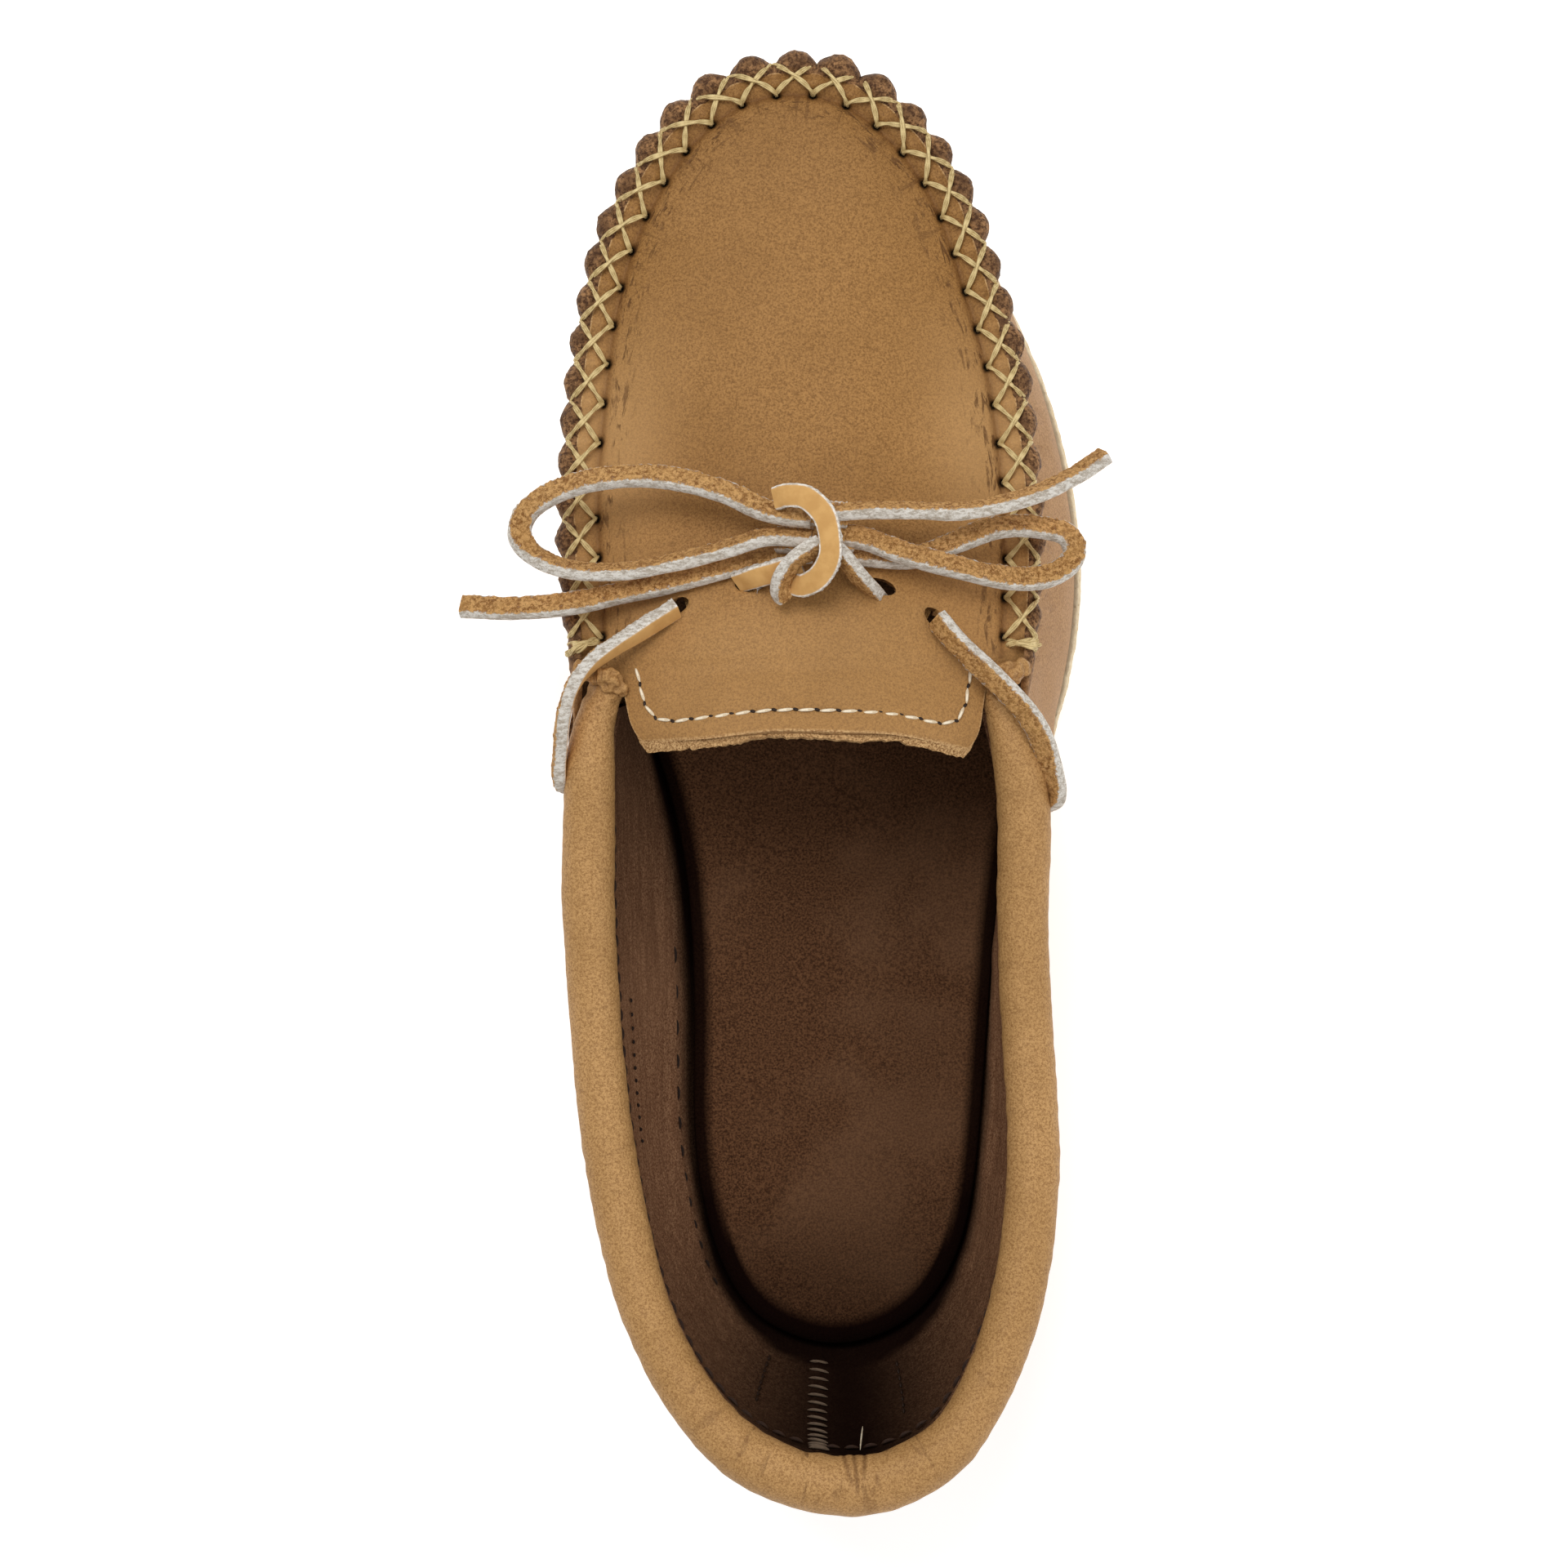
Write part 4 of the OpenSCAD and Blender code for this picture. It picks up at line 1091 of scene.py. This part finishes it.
def tied_end(s, seed):
    """Knotted ends of the seam thread at the throat."""
    r = np.random.default_rng(seed)
    parts = []
    for k in range(4):
        out = np.array([-3.2, -1.2, 1.2, 3.4]) + r.normal(0, 0.3, 4)
        rise = np.array([-0.8, 2.6, 2.9, 0.2]) + r.normal(0, 0.2, 4)
        spread = s + np.linspace(-0.25, 0.35, 4) * r.uniform(-1, 1)
        parts.append(strand_pair(along(seam_point(spread, out, rise), 5), 1.1, 0.8, 3, k))
    return joined(parts)


# ---- Collar and inside ----

COLLAR_R = 5.0


def collar_mid(u):
    return rim(u) - (COLLAR_R - 1) * outward(u) + (COLLAR_R - 1) * UP


def add_collar():
    """Padded roll round the mouth, pinched shut at both front ends."""
    u = np.linspace(COLLAR_FIRST - 0.85, COLLAR_LAST + 0.85, 901)
    mid, n = collar_mid(u), outward(u)
    gone = distances(mid)
    count = 36
    a = np.arange(count) * 2 * math.pi / count
    from_end = np.minimum(gone, gone[-1] - gone)
    radius = mix(3.1, COLLAR_R, smoothstep(from_end, 1, 22))
    mid = mid - (COLLAR_R - radius)[:, None] * (0.35 * n + UP)
    radius = radius * np.sqrt(np.clip(1 - (1 - np.clip(from_end / 1.8, 0, 1)) ** 2, 0.05, 1))
    back = hump(u, 36.1, 1.5)
    mid[:, 1] -= 0.5 * back
    radius = (radius + 0.7 * back) * (1 + 0.02 * waves(mid, 40, 51))
    direction = np.cos(a)[None, :, None] * n[:, None] + np.sin(a)[None, :, None] * UP
    surface = mid[:, None] + radius[:, None, None] * direction
    heel = hump(u, COUNT, 2.2)[:, None]
    tight = 0.25 + 0.75 * heel
    along_uv = np.repeat(gone[:, None], count, 1)
    around_uv = np.repeat((a * COLLAR_R)[None], len(u), 0)
    inner_side = 0.5 - 0.5 * np.cos(a)
    probe = np.stack([along_uv, around_uv * 0.25, around_uv * 0], -1)
    wrinkle = 0.22 * waves(probe, 7, 52) * tight * (0.35 + 0.65 * inner_side)
    wrinkle += 0.08 * waves(surface, 4, 53) + 0.12 * waves(surface, 20, 54)
    crumple = 0.5 * waves(surface, 3.4, 55) * smoothstep(-from_end, -9, -3)[:, None]
    wrinkle = wrinkle * smoothstep(from_end, 1, 6)[:, None] + crumple
    surface = surface + direction * wrinkle[..., None]
    x, behind = surface[..., 0], surface[..., 1] + 128
    creases = sum(hump(x - at + lean * behind, 0, 0.35) * smoothstep(behind, end - 3, end)
                  for at, lean, end in ((2.6, 0.3, -5), (4.9, 0.1, -7), (7.3, -0.1, -4)))
    creases = creases * heel * smoothstep(-surface[..., 1], 122, 126)
    surface = surface - direction * (0.14 * creases)[..., None]
    points, faces = capped(surface)
    near = (tight * (0.3 + 0.7 * inner_side)).ravel()
    near = np.maximum(near, np.repeat(smoothstep(-from_end, -14, -2), count))
    piece = make("collar_roll", points, faces, COLLAR_LEATHER, "shoe", "collar_leather",
                 ["collar_cover", "collar_foam"], near=near, line=np.clip(creases, 0, 1).ravel(),
                 uv=np.stack([along_uv.ravel(), around_uv.ravel()], -1))


def add_throat_gathers():
    """The crumpled leather where the collar's ends meet the seam's ends."""
    left = [[-48, 20, 55.6], [-45, 19, 58], [-41.4, 17.4, 58.6], [-38.4, 14.6, 56.8]]
    right = [[38.6, 20, 55.6], [35.8, 18.8, 57.8], [33, 16.8, 58.2], [31.2, 13.6, 56.8]]
    sides = 32
    parts = []
    for k, path in enumerate((left, right)):
        fine = along(path, 14)
        fat = np.sin(np.linspace(0.25, math.pi - 0.25, len(fine))) ** 0.6
        points, faces, _ = band(fine, UP, 4.8 * fat, 4.2 * fat, sides, 0.9)
        middle = np.repeat(fine, sides, axis=0)
        crumple = 0.5 * waves(points, 2.4, 61 + k) - 0.5 * np.abs(waves(points, 3.6, 63 + k))
        parts.append((points + unit(points - middle) * crumple[:, None], faces, crumple))
    points, faces, crumple = joined(parts)
    # Painted shade where the leather crumples in, carried by the value line.
    make("throat_gathers", points, faces, COLLAR_LEATHER, "shoe", "collar_leather",
         ["collar_cover"], uv=points[:, :2], near=1.0, line=smoothstep(-crumple, 0, 0.7) * 0.6)


HEEL_SEAM = 35.65


def lining_depth(v):
    return 4.4 + 4.6 * v


def add_quarter_lining():
    """Suede inside the walls, with a rib and a heel seam, and painted shade low down, at the heel and at
    both its ends.
    """
    u = np.linspace(COLLAR_FIRST - 0.3, COLLAR_LAST + 0.3, 280)
    v = np.linspace(0.04, 0.97, 34)
    points, faces = grid([wall(u, height) - lining_depth(height) * outward(u) for height in v])
    inward = -np.tile(outward(u), (len(v), 1))
    faces, _ = turned(points, faces, inward)
    heights, stations = np.repeat(v, len(u)), np.tile(u, len(v))
    soft = smoothstep(heights, 0.05, 0.2) * smoothstep(-heights, -0.97, -0.85)
    soft = soft * (0.35 * waves(points, 24, 61) + 0.15 * waves(points, 8, 62))
    rib = hump(heights, 0.2, 0.05) * 0.25
    seam = hump(stations, HEEL_SEAM, 0.05) * 0.35
    for rise in (soft, rib, seam):
        points = points + inward * rise[:, None]
    shell, shell_faces = thicken(points, faces, 1.0)
    # Painted shade: low on the wall by the footbed, at the heel, and at both front ends.
    dark = 0.8 * smoothstep(-heights, -0.24, -0.06) + hump(stations, 36.2, 3)
    dark += 0.5 * smoothstep(COUNT - stations, 4.5, 9) + 0.2 * smoothstep(stations - COUNT, 4.5, 9)
    make("quarter_lining_suede", shell, shell_faces, LINING_SUEDE, "shoe", "lining_suede",
         ["quarter_lining"], dark=np.tile(np.clip(dark, 0, 1), 2))


def filled(u, outs, heights, steps):
    """Rings of a flat sole-shaped solid: its edge, and its top or bottom closing on the middle line."""
    rings = [at_height(outline(u, out), z) for out, z in zip(outs, heights)]
    last = rings[-1]
    middle = np.interp(last[:, 1], [-110, -40, 60, 130], [3, 4, 0, -4])
    spine = np.stack([middle, last[:, 1] * 0.72, last[:, 2]], -1)
    shares = [k / steps for k in range(1, steps)] + [0.985]
    return rings + [mix(last, spine, share) for share in shares]


def add_footbed():
    """Suede footbed, dished and a little wavy, with painted shade at its edge and in the heel."""
    u = np.linspace(0, COUNT, 400, endpoint=False)
    low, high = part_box("footbed")
    top, bottom = high.z / MM, low.z / MM
    edge_heights = [bottom, bottom + 0.3, top - 0.4, top + 0.1, top + 0.5]
    up_rings = filled(u, [-4.0, -3.5, -3.4, -3.8, -5.4], edge_heights, 26)
    down = filled(u, [-4.0], [bottom], 6)[1:]
    rings = np.stack(down[::-1] + up_rings)
    flat = rings[..., 2] > top - 0.1
    inside = np.maximum(np.arange(len(rings)) - len(down) - 4, 0)[:, None] * np.ones(len(u))
    rings[..., 2] += flat * (-0.9 * smoothstep(inside, 0, 9) + 0.15 * waves(rings, 22, 71) * (inside > 0))
    points, faces = capped(rings)
    heel = smoothstep(-rings[..., 1].ravel(), 80, 112)
    reach = 1.5 + 1.3 * heel
    # Painted shade round the edge, wider at the heel, and over the heel.
    dark = 0.95 * smoothstep(-inside.ravel(), -reach, -0.5) * (rings[..., 2].ravel() > bottom)
    make("footbed_suede_sole", points, faces, FOOTBED_SUEDE, "shoe", "footbed_suede",
         ["footbed", "insole_foam"], dark=np.clip(dark + 0.5 * heel, 0, 1))


def add_outsole():
    """Crepe sole with a rough edge, darker on the lip beside the upper."""
    u = np.linspace(0, COUNT, 720, endpoint=False)
    outs = [-2.0, 0.2, 0.9, 1.35, 1.55, 1.6, 1.55, 1.45, 1.1, 0.6, -0.6, -2.4]
    heights = [0, 0, 0.25, 0.9, 2.2, 3.6, 5.0, 6.2, 7.1, 7.7, 8.0, 8.0]
    bottom = filled(u, [-2.0], [0], 8)[1:]
    rings = np.stack(bottom[::-1] + filled(u, outs, heights, 8))
    rough = np.zeros(rings.shape[:2])
    rough[len(bottom) + 2:len(bottom) + 10] = 1
    rough = rough * (0.10 * waves(rings, 1.6, 81, 24) + 0.12 * waves(rings, 5, 82))
    points, faces = capped(rings + rough[..., None] * outward(u)[None])
    ring = np.repeat(np.arange(len(rings)), len(u))
    rand = smoothstep(ring, len(bottom) + 8.4, len(bottom) + 9.6)
    make("outsole_crepe", points, faces, crepe_finish(), "shoe", "crepe", ["outsole"], rand=rand)


def patch_station(u, v):
    """Station on the heel patch, which is narrower towards its top."""
    return u * (0.72 + 0.28 * smoothstep(v, 0.78, 0.2))


def add_heel_patch():
    """Patch over the heel seam, with a row of stitches down each side."""
    u = np.linspace(-2.5, 2.5, 90)
    v = np.linspace(0.14, 0.78, 40)
    stations = [patch_station(u, height) for height in v]
    points, faces = grid([wall(at, height) + 0.3 * outward(at) for at, height in zip(stations, v)])
    n = np.concatenate([outward(at) for at in stations])
    faces, _ = turned(points, faces, n)
    to_side = (1 - np.abs(np.linspace(-1, 1, 90))) * 14
    edge = np.minimum.outer(np.minimum(v - v[0], v[-1] - v) * 40, to_side)
    rise = 1.15 * smoothstep(edge, -0.4, 1.2).ravel() + 0.1 * waves(points, 12, 91)
    shell, shell_faces = thicken(points + n * rise[:, None], faces, 0.9)
    make("heel_patch_leather", shell, shell_faces, patch_finish(), "shoe", "patch_leather",
         ["heel_patch"])
    runs = []
    heights = np.linspace(0.19, 0.74, 14)
    for way in (-1, 1):
        at = patch_station(way * 2.5, heights) - way * 0.22
        runs += stitch_row(wall(at, heights) + outward(at) * 1.62, outward(at), 0.08, 0.86)
    stitches("heel_patch_stitching", runs, 0.9, 0.8, CREAM_THREAD, "heel_patch_stitches")


def lining_line(at, heights, proud):
    """Points that stand proud of the lining's face at stations and heights."""
    return wall(at, heights) - (np.reshape(lining_depth(heights), (-1, 1)) + proud) * outward(at)


def add_heel_zigzag():
    """Light zigzag on the heel seam, in pale thread coloured darker as painted shade."""
    at = np.array([HEEL_SEAM])
    n = outward(at)[0]
    side = np.cross(UP, n)
    runs = []
    for k, v in enumerate(np.linspace(0.2, 0.9, 15)):
        p = lining_line(at, v, 0.55)[0]
        tilt = 0.35 * (1 if k % 2 else -1) * UP
        runs.append((p - 2.0 * side - tilt, p + 2.0 * side + tilt, -n))
    stitches("heel_seam_zigzag", runs, 0.7, 0.6, SHADED_PALE_THREAD, "heel_seam_stitches")


def add_lining_rows():
    """The zigzag's loose end, and the dark rows of stitches low on the lining and at the heel."""
    n = outward(np.array([0.3]))
    tail = wall(np.array([0.3, 0.3]), np.array([0.66, 0.94])) - (lining_depth(0.86) + 1.2) * n
    loose = (tail[0] + [1.0, 0, 0], tail[1], -n[0])
    stitches("loose_thread_end", [loose], 0.35, 0.35, CREAM_THREAD, "heel_seam_stitches")
    by_heel = np.linspace(0.26, 0.6, 9)
    runs = []
    for at, heights, share in (
            (np.linspace(29.4, 33.4, 14), np.full(14, 0.2), 0.45),
            (np.linspace(29.8, 31.2, 13), np.full(13, 0.6), 0.3),
            (np.full(9, 34.7), by_heel, 0.7), (np.full(9, 37.2), by_heel, 0.7)):
        runs += stitch_row(lining_line(at, heights, 0.35), -outward(at), 0, share)
    stitches("lining_seam_rows", runs, 0.55, 0.5, DARK_THREAD_AND_HOLE_SHADE, "heel_seam_stitches")


def add_collar_topstitch():
    """Row of stitches below the collar."""
    u = np.linspace(COLLAR_FIRST + 1.2, COLLAR_LAST - 1.2, 500)
    knots = resample(lining_line(u, 0.8, 0.35), 3.6)
    across = unit(np.cross(UP, np.diff(knots, axis=0)))
    inward = np.array([0, -40, 50.0]) - knots[:-1]
    across = across * np.sign(np.sum(across * inward, 1, keepdims=True))
    stitches("collar_topstitch", stitch_row(knots, across, 0.12, 0.88), 0.8, 0.7, BROWN_THREAD,
             "collar_stitches")


# ---- Making it ----

LACE = lace_finish()
CREAM_THREAD = thread_finish("cream_thread", (246, 232, 206), (198, 172, 132))
COLLAR_LEATHER = collar_finish()
STRAW_THREAD = thread_finish("seam_thread", (222, 198, 142), (150, 122, 70))
BROWN_THREAD = thread_finish("brown_thread", (62, 40, 26), (34, 18, 10))
# A darker copy of the pale thread: painted shade for the zigzag deep in the heel.
SHADED_PALE_THREAD = thread_finish("shaded_pale_thread", (128, 108, 88), (70, 52, 40))
# Dark thread for the lining's rows of stitches, also laid at the tongue's needle holes as painted shade.
DARK_THREAD_AND_HOLE_SHADE = thread_finish("dark_thread", (44, 26, 14), (18, 9, 5))
LINING_SUEDE = suede_finish("lining_suede", (180, 136, 102), (104, 68, 46), (164, 122, 90),
                            streaks=(0.9, 0.05, 0.9))
FOOTBED_SUEDE = suede_finish("footbed_suede", (114, 79, 54), (56, 34, 22), (132, 98, 72))
EDGE_SUEDE = suede_finish("tongue_edge_suede", (216, 176, 124), (128, 90, 54))

add_camera()
add_studio()
add_laces()
add_knot()
add_hidden_lace()
add_plug()
add_tongue_lining()
add_tongue_stitches()
add_upper()
add_seam_thread()
add_collar()
add_throat_gathers()
add_quarter_lining()
add_footbed()
add_outsole()
add_heel_patch()
add_heel_zigzag()
add_lining_rows()
add_collar_topstitch()

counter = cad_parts["heel_counter"]
counter.data.materials.clear()
counter.data.materials.append(board_finish())
